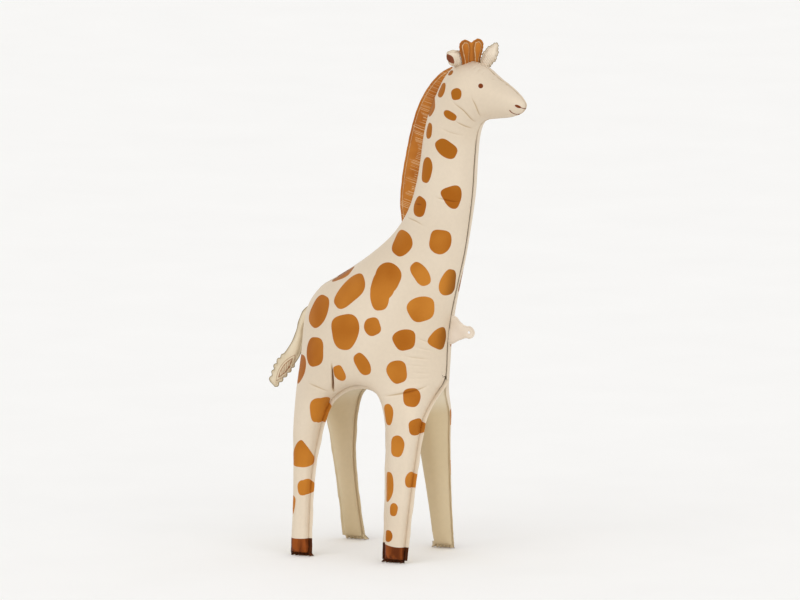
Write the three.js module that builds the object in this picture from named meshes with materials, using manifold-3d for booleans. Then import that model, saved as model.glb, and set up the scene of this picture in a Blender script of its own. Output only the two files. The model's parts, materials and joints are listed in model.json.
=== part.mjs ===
import * as THREE from "three";
import Module from "manifold-3d";

// A free-standing foil balloon in the shape of a giraffe, in millimetres.
// +X is where it looks, +Z is up, and its own left is +Y. Two printed side panels and two plain
// inner panels of film are sealed along one edge seam and blown up into a single air chamber.
// The mane, horns, ears, tail and filling tab are film pieces of their own, sealed on afterwards.

// Driving dimensions: the legs
const HOOF_SPREAD = { hind: 163, front: 149 };
const LEG_SPLAY = { hind: 0.165, front: 0.17 };
const BELLY_SPREAD = 87;
const RUMP_FORK = { low: 330, high: 600 };
const CHEST_FORK = { low: 390, high: 535 };
const SEAL_DROP = 4;

// Driving dimensions: how far the film swells, as a share of a round section
const TORSO_FLATNESS = 0.73;
const TORSO_FLAT = { low: 380, full: 540, neck: 880, high: 1080 };
const BELLY_ROUND = 0.3;

// Driving dimensions: the film pieces
const MANE_SWELL = 0.22;
const MANE_ROOT = 9;
const TAIL_SWELL = 0.42;
const TAB_THICKNESS = 2;
const TAB_HOLE = 4;
const TAB_END = 18;
const CREST = { x: 310, z: 1424, turn: THREE.MathUtils.degToRad(32) };
const HORN_SWELL = 0.7;
const HORN_WEB = 2.4;
const EAR_LENGTH = { left: 76, right: 60 };
const EAR_WIDTH = { left: 42, right: 48 };
const EAR_SWELL = 0.4;
const EAR_ROOT = { left: { out: 34, up: -5, back: -14 }, right: { out: 23, up: 3, back: 14 } };
const EAR_LIFT = { left: THREE.MathUtils.degToRad(56), right: THREE.MathUtils.degToRad(36) };
const EAR_TWIST = { left: THREE.MathUtils.degToRad(150), right: THREE.MathUtils.degToRad(10) };

// Fits and fineness
const GAP = 0.35;
const FRAME_X = 72.1;
const RELAX_STEP = 6;
const RELAX_SWEEPS = 700;
const OVER_RELAX = 1.95;
const EDGE_BAND = 0.8;
const EDGE_PASSES = 4;

// Edge seam of a side panel, seen from the side as [x, z], measured from the middle of the feet
const HIND_LEG_BACK = [[-182, -SEAL_DROP], [-186, 120], [-196, 270], [-208, 390], [-226, 500]];
const RUMP_AND_BACK = [[-224, 610], [-212, 692], [-176, 747], [-111, 788], [-27, 844], [44, 902], [84, 945]];
const NECK_BACK = [[122, 1005], [145, 1075], [158, 1147], [167, 1215], [183, 1280], [208, 1338]];
const CROWN = [[236, 1391], [266, 1420], [300, 1430], [334, 1428], [364, 1416], [394, 1393]];
const MUZZLE = [[442, 1364], [474, 1338], [487, 1318], [475, 1299], [440, 1284], [398, 1277]];
const THROAT = [[362, 1270], [340, 1252], [329, 1222]];
const NECK_FRONT = [[321, 1150], [315, 1063], [304, 975], [290, 888], [269, 800]];
const CHEST = [[246, 700], [234, 610], [231, 545], [225, 505], [213, 480]];
const FRONT_LEG_FRONT = [[201, 440], [190, 360], [182, 265], [175, 140], [171, -SEAL_DROP]];
const FRONT_LEG_BACK = [[114, -SEAL_DROP], [108, 140], [99, 265], [93, 350], [83, 425]];
const BELLY_ARCH = [[62, 476], [20, 492], [-25, 488], [-62, 470], [-95, 440]];
const HIND_LEG_FRONT = [[-116, 385], [-128, 320], [-137, 240], [-135, 110], [-128, -SEAL_DROP]];

// Edges of the film pieces, each from its root to its tip: mane and tail from the side, horn from the front
const MANE_OUTER = [[88, 946], [80, 1010], [86, 1075], [99, 1147], [115, 1222], [139, 1292], [174, 1352],
  [214, 1394], [248, 1413]];
const MANE_ENDS = { low: [98, 952], high: [256, 1400] };
const TAIL_OUTER = [[-200, 704], [-236, 674], [-264, 597], [-292, 553], [-319, 518], [-341, 463]];
const TAIL_INNER = [[-204, 648], [-226, 632], [-230, 600], [-244, 545], [-266, 515], [-326, 449]];
const HORN_INNER = [[9, -14], [9, 20], [7, 46], [11, 63]];
const HORN_OUTER = [[22, -14], [24, 12], [31, 40], [33, 55], [24, 66]];
const HORN_FILM = [[0, 62], [8, 67], [22, 72], [37, 63], [39, 48], [31, 16], [27, -14]];

const wasm = await Module();
wasm.setup();

function smooth(low, high, value) {
  return THREE.MathUtils.smoothstep(value, low, high);
}

// An evenly stepped curve through [a, b] points
function curve(points, steps) {
  const through = points.map(([a, b]) => new THREE.Vector3(a, b, 0));
  const spline = new THREE.CatmullRomCurve3(through, false, "centripetal");
  return spline.getSpacedPoints(steps).map((p) => [p.x, p.y]);
}

// A square of numbers over an outline, read between its points by straight blending
class Sheet {
  constructor(outline, step) {
    const a = outline.map((p) => p[0]);
    const b = outline.map((p) => p[1]);
    this.step = step;
    this.a0 = Math.min(...a) - 4 * step;
    this.b0 = Math.min(...b) - 4 * step;
    this.na = Math.ceil((Math.max(...a) - this.a0) / step) + 5;
    this.nb = Math.ceil((Math.max(...b) - this.b0) / step) + 5;
    this.data = new Float64Array(this.na * this.nb);
  }

  like() {
    const copy = Object.assign(Object.create(Sheet.prototype), this);
    copy.data = new Float64Array(this.na * this.nb);
    return copy;
  }

  fill(rule) {
    for (let j = 0; j < this.nb; j++)
      for (let i = 0; i < this.na; i++)
        this.data[j * this.na + i] = rule(this.a0 + i * this.step, this.b0 + j * this.step);
    return this;
  }

  read(a, b) {
    const fa = THREE.MathUtils.clamp((a - this.a0) / this.step, 0, this.na - 1.001);
    const fb = THREE.MathUtils.clamp((b - this.b0) / this.step, 0, this.nb - 1.001);
    const i = Math.floor(fa);
    const j = Math.floor(fb);
    const k = j * this.na + i;
    const low = THREE.MathUtils.lerp(this.data[k], this.data[k + 1], fa - i);
    const high = THREE.MathUtils.lerp(this.data[k + this.na], this.data[k + this.na + 1], fa - i);
    return THREE.MathUtils.lerp(low, high, fb - j);
  }
}

// Distance from a point to a closed outline, positive inside
function depthInside(outline, a, b) {
  let nearest = Infinity;
  let inside = false;
  for (let i = 0, j = outline.length - 1; i < outline.length; j = i++) {
    const [a1, b1] = outline[i];
    const [a0, b0] = outline[j];
    const da = a1 - a0;
    const db = b1 - b0;
    const t = THREE.MathUtils.clamp(((a - a0) * da + (b - b0) * db) / (da * da + db * db || 1), 0, 1);
    nearest = Math.min(nearest, (a - a0 - t * da) ** 2 + (b - b0 - t * db) ** 2);
    if (b1 > b !== b0 > b && a < (da * (b - b0)) / db + a0) inside = !inside;
  }
  return inside ? Math.sqrt(nearest) : -Math.sqrt(nearest);
}

// A film under air pressure: it settles where its curvature answers the load and its edge is held.
// A load of 2 on a long strip gives the square of a round section's half thickness.
function settle(depth, load, edge) {
  const { na, nb, step } = depth;
  const film = depth.like().fill(edge);
  const sides = [1, -1, na, -na];
  const cells = [];
  for (let j = 1; j < nb - 1; j++)
    for (let i = 1; i < na - 1; i++) {
      const k = j * na + i;
      const here = depth.data[k];
      if (here <= 0) continue;
      const near = sides.map((side) => {
        const there = depth.data[k + side];
        const held = there <= 0;
        const share = held ? THREE.MathUtils.clamp(here / (here - there), 0.12, 1) : 1;
        const value = THREE.MathUtils.lerp(film.data[k], film.data[k + side], share);
        return { from: k + side, held, weight: 1 / share, value };
      });
      cells.push({ k, near, sum: near.reduce((total, { weight }) => total + weight, 0) });
    }
  for (let sweep = 0; sweep < RELAX_SWEEPS; sweep++)
    for (const { k, near, sum } of cells) {
      let pull = load * step * step;
      for (const { from, held, weight, value } of near) pull += weight * (held ? value : film.data[from]);
      film.data[k] += OVER_RELAX * (pull / sum - film.data[k]);
    }
  return film;
}

// The settled film as so much for each millimetre in from the edge, carried on past the edge
function perDepth(film, depth) {
  const { na, step } = depth;
  const rate = depth.like();
  const known = depth.data.map((d) => (d > EDGE_BAND * step ? 1 : 0));
  known.forEach((yes, k) => (rate.data[k] = yes ? film.data[k] / depth.data[k] : 0));
  for (let pass = 0; pass < EDGE_PASSES; pass++) {
    const before = [...known];
    before.forEach((yes, k) => {
      const round = [1, -1, na, -na, na + 1, na - 1, 1 - na, -1 - na];
      const near = round.map((n) => k + n).filter((n) => before[n]);
      if (yes || !near.length) return;
      rate.data[k] = near.reduce((total, n) => total + rate.data[n], 0) / near.length;
      known[k] = 1;
    });
  }
  return rate;
}

// Evenly stepped lines from low to high
function lines(low, high, step) {
  const count = Math.round((high - low) / step);
  return Array.from({ length: count + 1 }, (_, i) => low + ((high - low) * i) / count);
}

// A box of the grid: its corners, its edges by their corners, and its faces as rounds of corners
const CORNERS = [0, 1, 2, 3, 4, 5, 6, 7].map((c) => [c & 1, (c >> 1) & 1, c >> 2]);
const EDGES = [[0, 1], [2, 3], [4, 5], [6, 7], [0, 2], [1, 3], [4, 6], [5, 7]];
EDGES.push([0, 4], [1, 5], [2, 6], [3, 7]);
const FACES = [[0, 2, 6, 4], [1, 3, 7, 5], [0, 1, 5, 4], [2, 3, 7, 6], [0, 1, 3, 2], [4, 5, 7, 6]];
const edgeOf = (a, b) => EDGES.findIndex((edge) => edge.includes(a) && edge.includes(b));

// The cut edges of a box in groups, one for each sheet of skin that passes through it
function sheets(value) {
  const group = EDGES.map(([a, b], n) => (value[a] > 0 !== value[b] > 0 ? n : -1));
  const join = (a, b) => {
    const old = group[b];
    group.forEach((g, n) => (group[n] = g === old ? group[a] : g));
  };
  for (const round of FACES) {
    const sides = round.map((c, n) => edgeOf(c, round[(n + 1) % 4]));
    const cut = sides.filter((n) => group[n] >= 0);
    if (cut.length === 2) join(cut[0], cut[1]);
    if (cut.length === 4) round.forEach((c, n) => value[c] > 0 && join(sides[(n + 3) % 4], sides[n]));
  }
  return group;
}

// The closed skin where a rule changes from inside (positive) to outside, over three sets of lines
function skin(rule, xs, ys, zs) {
  const [nx, ny, nz] = [xs.length, ys.length, zs.length];
  const [X, Y, Z] = [1, nx, nx * ny];
  const value = new Float64Array(nx * ny * nz);
  for (let k = 0; k < nz; k++)
    for (let j = 0; j < ny; j++)
      for (let i = 0; i < nx; i++) value[i + j * Y + k * Z] = rule(xs[i], ys[j], zs[k]);
  const points = [];
  const cells = new Map();
  for (let k = 0; k < nz - 1; k++)
    for (let j = 0; j < ny - 1; j++)
      for (let i = 0; i < nx - 1; i++) {
        const here = i + j * Y + k * Z;
        const v = CORNERS.map(([a, b, c]) => value[here + a + b * Y + c * Z]);
        if (v.every((n) => n > 0) || v.every((n) => n <= 0)) continue;
        const at = CORNERS.map(([a, b, c]) => new THREE.Vector3(xs[i + a], ys[j + b], zs[k + c]));
        const group = sheets(v);
        const vertex = new Map();
        for (const sheet of new Set(group.filter((g) => g >= 0))) {
          const cuts = EDGES.filter((_, n) => group[n] === sheet);
          const p = new THREE.Vector3();
          for (const [a, b] of cuts) p.add(at[a].clone().lerp(at[b], v[a] / (v[a] - v[b])));
          vertex.set(sheet, points.length);
          points.push(draw(rule, p.divideScalar(cuts.length), at[0], at[7]));
        }
        cells.set(here, group.map((g) => vertex.get(g)));
      }
  const faces = [];
  const quad = (corners, turned) => {
    const [p, q, r, s] = corners.map(([cell, edge]) => cells.get(cell)[edge]);
    const shortcut = points[p].distanceTo(points[r]) <= points[q].distanceTo(points[s]);
    const pair = shortcut ? [p, q, r, p, r, s] : [p, q, s, q, r, s];
    faces.push(...(turned ? pair.reverse() : pair));
  };
  for (let k = 1; k < nz - 1; k++)
    for (let j = 1; j < ny - 1; j++)
      for (let i = 1; i < nx - 1; i++) {
        const n = i + j * Y + k * Z;
        const within = value[n] > 0;
        if (within !== value[n + X] > 0) quad([[n - Y - Z, 3], [n - Z, 2], [n, 0], [n - Y, 1]], !within);
        if (within !== value[n + Y] > 0) quad([[n - X - Z, 7], [n - X, 5], [n, 4], [n - Z, 6]], !within);
        if (within !== value[n + Z] > 0) quad([[n - X - Y, 11], [n - Y, 10], [n, 8], [n - X, 9]], !within);
      }
  const geometry = new THREE.BufferGeometry();
  geometry.setAttribute("position", new THREE.Float32BufferAttribute(points.flatMap((p) => p.toArray()), 3));
  geometry.setIndex(faces);
  return geometry;
}

// Draws a point onto the skin, without leaving its own box
function draw(rule, point, low, high) {
  const step = 0.5;
  const least = low.clone().lerp(high, 0.03);
  const most = high.clone().lerp(low, 0.03);
  for (let n = 0; n < 4; n++) {
    const { x, y, z } = point;
    const slope = new THREE.Vector3(
      rule(x + step, y, z) - rule(x - step, y, z),
      rule(x, y + step, z) - rule(x, y - step, z),
      rule(x, y, z + step) - rule(x, y, z - step),
    ).divideScalar(2 * step);
    point.addScaledVector(slope, -rule(x, y, z) / Math.max(slope.lengthSq(), 1e-6)).clamp(least, most);
  }
  return point;
}

function solid(geometry) {
  const { position } = geometry.attributes;
  return new wasm.Manifold(
    new wasm.Mesh({
      numProp: 3,
      vertProperties: new Float32Array(position.array),
      triVerts: new Uint32Array(geometry.index.array),
    }),
  );
}

// Joins the loose corners of an extrusion into shared points and drops the faces that this closes up
function indexed(geometry) {
  const found = new Map();
  const points = [];
  const faces = [];
  const position = geometry.attributes.position;
  for (let i = 0; i < position.count; i += 3) {
    const face = [0, 1, 2].map((n) => {
      const p = new THREE.Vector3().fromBufferAttribute(position, i + n).toArray();
      const key = p.map((c) => Math.round(c * 1e3)).join();
      if (!found.has(key)) {
        found.set(key, points.length / 3);
        points.push(...p);
      }
      return found.get(key);
    });
    if (new Set(face).size === 3) faces.push(...face);
  }
  const joined = new THREE.BufferGeometry();
  joined.setAttribute("position", new THREE.Float32BufferAttribute(points, 3));
  joined.setIndex(faces);
  return joined;
}

function geometryOf(made) {
  const { numProp, numVert, vertProperties, triVerts } = made.getMesh();
  const position = new Float32Array(numVert * 3);
  for (let i = 0; i < numVert; i++) {
    const start = i * numProp;
    position.set(vertProperties.subarray(start, start + 3), i * 3);
  }
  const geometry = new THREE.BufferGeometry();
  geometry.setAttribute("position", new THREE.BufferAttribute(position, 3));
  geometry.setIndex(new THREE.BufferAttribute(new Uint32Array(triVerts), 1));
  return geometry;
}

// How far a leg's seam stands out from the middle plane
function legSpread(leg, z) {
  return HOOF_SPREAD[leg] - LEG_SPLAY[leg] * Math.max(z, 0);
}

// How far the edge seam stands out, with the fork above the legs where it runs into the middle plane
function seamSpread(x, z, outer) {
  const leg = x < 0 ? "hind" : "front";
  if (!outer) return Math.max(BELLY_SPREAD, legSpread(leg, z));
  const fork = leg === "hind" ? RUMP_FORK : CHEST_FORK;
  return Math.max(legSpread(leg, z), 0) * (1 - smooth(fork.low, fork.high, z));
}

// The air chamber: rump, trunk, neck, head and four legs
function body() {
  const upward = [...HIND_LEG_BACK, ...RUMP_AND_BACK, ...NECK_BACK, ...CROWN];
  const downward = [...MUZZLE, ...THROAT, ...NECK_FRONT, ...CHEST, ...FRONT_LEG_FRONT];
  const outerEdge = curve([...upward, ...downward], 420);
  const innerEdge = curve([...FRONT_LEG_BACK, ...BELLY_ARCH, ...HIND_LEG_FRONT], 160);
  const outline = [...outerEdge, ...innerEdge];
  const depth = new Sheet(outline, RELAX_STEP).fill((x, z) => depthInside(outline, x, z));
  const nearInner = new Sheet(outline, RELAX_STEP).fill((x, z) => {
    const toInner = Math.min(...innerEdge.map(([a, b]) => (a - x) ** 2 + (b - z) ** 2));
    const toOuter = Math.min(...outerEdge.map(([a, b]) => (a - x) ** 2 + (b - z) ** 2));
    return toInner < toOuter ? 1 : 0;
  });
  const swell = perDepth(settle(depth, 2, () => 0), depth);
  const spread = settle(depth, 0, (x, z) => seamSpread(x, z, nearInner.read(x, z) < 0.5));
  const inside = (x, y, z) => {
    const aboveLegs = smooth(TORSO_FLAT.low, TORSO_FLAT.full, z);
    const belowNeck = 1 - smooth(TORSO_FLAT.neck, TORSO_FLAT.high, z);
    const share = 1 - (1 - TORSO_FLATNESS) * aboveLegs * belowNeck;
    const out = Math.max(spread.read(x, z), 0);
    const across = Math.hypot(y, BELLY_ROUND * out) - out * Math.hypot(1, BELLY_ROUND);
    return depth.read(x, z) * swell.read(x, z) * share ** 2 - across ** 2;
  };
  // closer lines across the legs and at the nose, wider ones along the trunk and neck
  const xs = [...lines(-243, -105, 15), ...lines(-82, 68, 25), ...lines(90, 210, 15), ...lines(232, 462, 23)];
  xs.push(477, 487, 497);
  const half = [...lines(11, 77, 22), ...lines(92, 212, 15)];
  const ys = [...half.map((y) => -y).reverse(), ...half];
  const zs = [-14, -5, 4, 18, ...lines(46, 406, 45), ...lines(430, 550, 24), ...lines(584, 1196, 34)];
  zs.push(...lines(1226, 1442, 18));
  const ground = new THREE.BoxGeometry(2000, 2000, 2000);
  ground.translate(0, 0, 1000);
  return solid(skin(inside, xs, ys, zs)).intersect(solid(indexed(ground.toNonIndexed())));
}

// A pillow: two films sealed along two edges and blown up, so that each section is an ellipse whose
// thickness is a share of its width. It lies in the XZ plane, and its thickness is along Y.
function pillow(left, right, share, rows, sides) {
  const a = curve(left, rows);
  const b = curve(right, rows);
  const points = [];
  const faces = [];
  for (let r = 0; r <= rows; r++) {
    const middle = [(a[r][0] + b[r][0]) / 2, (a[r][1] + b[r][1]) / 2];
    const half = [(b[r][0] - a[r][0]) / 2, (b[r][1] - a[r][1]) / 2];
    for (let n = 0; n < sides; n++) {
      const angle = (2 * Math.PI * n) / sides;
      const reach = Math.cos(angle);
      const swell = share * Math.hypot(...half) * Math.sin(angle);
      points.push(middle[0] + half[0] * reach, swell, middle[1] + half[1] * reach);
      if (r === rows) continue;
      const [p, q] = [r * sides + n, r * sides + ((n + 1) % sides)];
      faces.push(p, q, q + sides, p, q + sides, p + sides);
    }
  }
  for (let n = 1; n < sides - 1; n++) {
    const last = rows * sides;
    faces.push(0, n + 1, n, last, last + n, last + n + 1);
  }
  const geometry = new THREE.BufferGeometry();
  geometry.setAttribute("position", new THREE.Float32BufferAttribute(points, 3));
  geometry.setIndex(faces);
  return geometry;
}

// Cuts a film piece to the chamber it is sealed to, leaving a hair's gap on the side it comes from
function seated(piece, chamber, x, z) {
  return piece.subtract(chamber.translate([x * GAP, 0, z * GAP]));
}

// The mane: a flat flap in the middle plane, sealed along the back of the neck
function mane() {
  const root = NECK_BACK.map(([x, z]) => [x + MANE_ROOT, z - MANE_ROOT / 3]);
  return solid(pillow(MANE_OUTER, [MANE_ENDS.low, ...root, MANE_ENDS.high], MANE_SWELL, 16, 8));
}

// The tail: a ribbon in the middle plane that widens to a tuft
function tail() {
  return solid(pillow(TAIL_INNER, TAIL_OUTER, TAIL_SWELL, 14, 10));
}

// The filling tab: a flat tongue of film on the chest with a punched hole in its round end
function fillingTab() {
  const end = { x: 303, z: 654 };
  const shape = new THREE.Shape();
  shape.moveTo(236, 700);
  shape.lineTo(262, 696);
  shape.quadraticCurveTo(274, end.z + TAB_END + 6, end.x - 8, end.z + TAB_END - 2);
  shape.absarc(end.x, end.z, TAB_END, THREE.MathUtils.degToRad(110), THREE.MathUtils.degToRad(-110), true);
  shape.quadraticCurveTo(270, 628, 246, 616);
  shape.lineTo(226, 618);
  const film = { depth: TAB_THICKNESS, bevelEnabled: false, curveSegments: 6 };
  const tongue = new THREE.ExtrudeGeometry(shape, film);
  tongue.translate(0, 0, -TAB_THICKNESS / 2);
  tongue.rotateX(Math.PI / 2);
  const punch = new THREE.CylinderGeometry(TAB_HOLE, TAB_HOLE, 4 * TAB_THICKNESS, 16);
  punch.translate(end.x, 0, end.z);
  return solid(indexed(tongue)).subtract(solid(indexed(punch.toNonIndexed())));
}

// Places a piece drawn in the crest's own frame: x to the giraffe's left, z up, y away from the front
function onCrest(geometry) {
  geometry.rotateZ(Math.PI / 2 - CREST.turn);
  geometry.translate(CREST.x, 0, CREST.z);
  return geometry;
}

// The horns: two blown lobes joined by a flat web
function horns() {
  const mirrored = (points) => points.map(([a, b]) => [-a, b]);
  const left = pillow(HORN_INNER, HORN_OUTER, HORN_SWELL, 8, 8);
  const right = pillow(mirrored(HORN_OUTER), mirrored(HORN_INNER), HORN_SWELL, 8, 8);
  const half = curve(HORN_FILM, 9);
  const film = [...half, ...mirrored(half).slice(1).reverse()].map(([a, b]) => new THREE.Vector2(a, b));
  const web = new THREE.ExtrudeGeometry(new THREE.Shape(film), { depth: HORN_WEB, bevelEnabled: false });
  web.translate(0, 0, -HORN_WEB / 2);
  web.rotateX(Math.PI / 2);
  return solid(onCrest(left)).add(solid(onCrest(right))).add(solid(onCrest(indexed(web))));
}

// An ear: a leaf of film, narrow at its root, standing out and up beside the horns
function ear(side) {
  const out = side === "left" ? 1 : -1;
  const edge = [[0.3, -0.2], [0.38, 0.08], [0.5, 0.42], [0.36, 0.74], [0.06, 1]];
  const right = edge.map(([a, b]) => [a * EAR_WIDTH[side], b * EAR_LENGTH[side]]);
  const left = right.map(([a, b]) => [-a, b]);
  const leaf = pillow(left, right, EAR_SWELL, 9, 10);
  leaf.rotateZ(out * EAR_TWIST[side]);
  leaf.rotateY(out * (Math.PI / 2 - EAR_LIFT[side]));
  leaf.translate(out * EAR_ROOT[side].out, EAR_ROOT[side].back, EAR_ROOT[side].up);
  return solid(onCrest(leaf));
}

const chamber = body();
const pieces = [
  ["balloon_body", chamber, "cream foil", 0xe3d6c1],
  ["mane", seated(mane(), chamber, -1, 0), "orange foil", 0xb4692a],
  ["horns", seated(horns(), chamber, 0, 1), "orange foil", 0xb06a2c],
  ["ear_left", seated(ear("left"), chamber, 0, 1), "cream foil", 0xe3d6c1],
  ["ear_right", seated(ear("right"), chamber, 0, 1), "cream foil", 0xe3d6c1],
  ["tail", seated(tail(), chamber, -1, 0), "cream foil", 0xd9cbb2],
  ["inflation_tab", seated(fillingTab(), chamber, 1, 0), "film", 0xe8dfd0],
];

const group = new THREE.Group();
group.name = "balloon_giraffe";
for (const [name, made, film, color] of pieces) {
  const material = new THREE.MeshStandardMaterial({ name: film, color, roughness: 0.35, metalness: 0.2 });
  const mesh = new THREE.Mesh(geometryOf(made.translate([-FRAME_X, 0, 0])), material);
  mesh.name = name;
  group.add(mesh);
}

export default group;
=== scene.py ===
# %% [markdown]
# # A standing balloon giraffe
# The real object is a foil balloon. Two printed side panels and two plain inner leg panels are heat sealed
# along one edge seam and blown up with air, and a mane, horns, ears, a tail and a filling tab of the same
# film are sealed to it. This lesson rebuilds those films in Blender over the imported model, which gives the
# exact place of every piece. Lengths are in millimetres from the middle of the feet until a mesh is made.

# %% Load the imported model
import json
import math

import bmesh
import bpy
import numpy as np
from mathutils import Matrix, Vector
from mathutils.geometry import delaunay_2d_cdt

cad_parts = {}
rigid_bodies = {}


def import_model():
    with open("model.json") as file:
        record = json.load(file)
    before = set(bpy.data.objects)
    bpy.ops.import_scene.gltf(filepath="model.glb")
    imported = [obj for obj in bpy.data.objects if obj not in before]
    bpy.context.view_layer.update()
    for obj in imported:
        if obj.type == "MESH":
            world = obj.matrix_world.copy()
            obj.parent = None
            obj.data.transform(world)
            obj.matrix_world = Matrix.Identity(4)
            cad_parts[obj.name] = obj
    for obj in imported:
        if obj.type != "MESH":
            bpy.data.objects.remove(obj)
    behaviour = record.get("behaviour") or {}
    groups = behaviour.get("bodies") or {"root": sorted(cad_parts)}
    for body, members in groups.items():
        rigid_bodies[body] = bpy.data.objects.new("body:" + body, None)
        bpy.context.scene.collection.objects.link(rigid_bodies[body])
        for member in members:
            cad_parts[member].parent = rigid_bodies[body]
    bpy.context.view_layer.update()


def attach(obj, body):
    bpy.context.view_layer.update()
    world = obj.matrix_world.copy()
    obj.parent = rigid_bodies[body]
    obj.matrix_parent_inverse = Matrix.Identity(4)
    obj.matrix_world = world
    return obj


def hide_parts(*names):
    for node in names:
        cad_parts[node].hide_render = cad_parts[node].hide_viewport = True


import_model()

scene = bpy.context.scene
MM = 0.001
FEET_X = -72.1

# %% [markdown]
# ## The camera
# The picture was taken with a long lens, from the giraffe's right side and a little towards its front, and
# a little above its middle. A camera can be aimed with a constraint, but here its three axes are known, so
# its matrix is written straight from them. A very long distance and lens keep upright lines parallel, as
# they are in the picture.

# %% Aim the camera
CAMERA_TURN = math.radians(28.5)
CAMERA_RISE = math.radians(9)
CAMERA_DISTANCE = 80.0
PICTURE_WIDTH = 2.2766
PICTURE_MIDDLE = (0.0704, 0.7154)
sin_t, cos_t = math.sin(CAMERA_TURN), math.cos(CAMERA_TURN)
sin_r, cos_r = math.sin(CAMERA_RISE), math.cos(CAMERA_RISE)
right = Vector((cos_t, sin_t, 0))
up = Vector((-sin_r * sin_t, sin_r * cos_t, cos_r))
back = Vector((sin_t * cos_r, -cos_t * cos_r, sin_r))
target = Vector((FEET_X * MM, 0, 0)) + right * PICTURE_MIDDLE[0] + up * PICTURE_MIDDLE[1]
lens = bpy.data.cameras.new("picture_camera")
lens.sensor_width = 36
lens.lens = lens.sensor_width * CAMERA_DISTANCE / PICTURE_WIDTH
camera = bpy.data.objects.new("picture_camera", lens)
axes = Matrix((right, up, back)).transposed().to_4x4()
camera.matrix_world = Matrix.Translation(target + back * CAMERA_DISTANCE) @ axes
scene.collection.objects.link(camera)
scene.camera = camera
print("lens", round(lens.lens, 1), "mm")

# %% [markdown]
# ## The edge seam
# The seam is the line where the films meet, and it gives the giraffe its outline. It could be one long list
# of points, but a few on each stretch are enough, because a smooth curve through them does the rest. The
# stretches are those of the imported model: up the hind leg, along the back, over the head and down the
# chest, and then the inner edge round the belly's arch. Here the legs end a little higher, at the line of
# the crimped hooves.

# %% Draw the outline
SOLE_SEAM = 9
EDGE_STEP = 8
HIND_LEG_BACK = [(-183, SOLE_SEAM), (-186, 120), (-196, 270), (-208, 390), (-226, 500)]
RUMP_AND_BACK = [(-224, 610), (-212, 692), (-176, 747), (-111, 788), (-27, 844), (44, 902), (84, 945)]
NECK_BACK = [(122, 1005), (145, 1075), (158, 1147), (167, 1215), (183, 1280), (208, 1338)]
CROWN = [(236, 1391), (266, 1420), (300, 1430), (334, 1428), (364, 1416), (394, 1393)]
MUZZLE = [(442, 1364), (474, 1338), (487, 1318), (475, 1299), (440, 1284), (398, 1277)]
THROAT = [(362, 1270), (340, 1252), (329, 1222)]
NECK_FRONT = [(321, 1150), (315, 1063), (304, 975), (290, 888), (269, 800)]
CHEST = [(246, 700), (234, 610), (231, 545), (225, 505), (213, 480)]
FRONT_LEG_FRONT = [(201, 440), (190, 360), (182, 265), (175, 140), (171, SOLE_SEAM)]
FRONT_LEG_BACK = [(114, SOLE_SEAM), (108, 140), (99, 265), (93, 350), (83, 425)]
BELLY_ARCH = [(62, 476), (20, 492), (-25, 488), (-62, 470), (-95, 440)]
HIND_LEG_FRONT = [(-116, 385), (-128, 320), (-137, 240), (-135, 110), (-128, SOLE_SEAM)]


def curve(points, step):
    """A smooth curve through the points, as evenly stepped points."""
    p = np.array(points, float)
    p = np.vstack([2 * p[0] - p[1], p, 2 * p[-1] - p[-2]])
    rounds = []
    for p0, p1, p2, p3 in zip(p[:-3], p[1:-2], p[2:-1], p[3:]):
        gaps = [np.linalg.norm(b - a) ** 0.5 for a, b in ((p0, p1), (p1, p2), (p2, p3))]
        t0, t1, t2, t3 = np.concatenate([[0], np.cumsum(gaps)])
        t = np.linspace(t1, t2, 24, endpoint=False)[:, None]
        a1 = ((t1 - t) * p0 + (t - t0) * p1) / (t1 - t0)
        a2 = ((t2 - t) * p1 + (t - t1) * p2) / (t2 - t1)
        a3 = ((t3 - t) * p2 + (t - t2) * p3) / (t3 - t2)
        b1 = ((t2 - t) * a1 + (t - t0) * a2) / (t2 - t0)
        b2 = ((t3 - t) * a2 + (t - t1) * a3) / (t3 - t1)
        rounds.append(((t2 - t) * b1 + (t - t1) * b2) / (t2 - t1))
    path = np.vstack(rounds + [p[-2:-1]])
    run = np.concatenate([[0], np.cumsum(np.linalg.norm(np.diff(path, axis=0), axis=1))])
    even = np.linspace(0, run[-1], max(2, round(run[-1] / step) + 1))
    return np.stack([np.interp(even, run, path[:, n]) for n in range(path.shape[1])], axis=1)


outer_edge = curve(HIND_LEG_BACK + RUMP_AND_BACK + NECK_BACK + CROWN + MUZZLE + THROAT
                   + NECK_FRONT + CHEST + FRONT_LEG_FRONT, EDGE_STEP)
inner_edge = curve(FRONT_LEG_BACK + BELLY_ARCH + HIND_LEG_FRONT, EDGE_STEP)
outline = np.vstack([outer_edge, inner_edge])
print("outline points:", len(outline))

# %% [markdown]
# ## The air inside
# A film held along its edge and loaded with air settles where its curvature answers the pressure. The
# square of its half thickness then obeys a simple rule: its Laplacian is the same everywhere, and it is
# zero on the seam. A cloth simulation could blow the panels up too, but relaxing that rule on a flat grid
# is quicker, gives the same answer at every run, and rounds the legs, trunk and muzzle each to its own
# width.

# %% Relax a film on a grid
OVER_RELAX = 1.94
SHORTEST_STEP = 0.12


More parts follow.
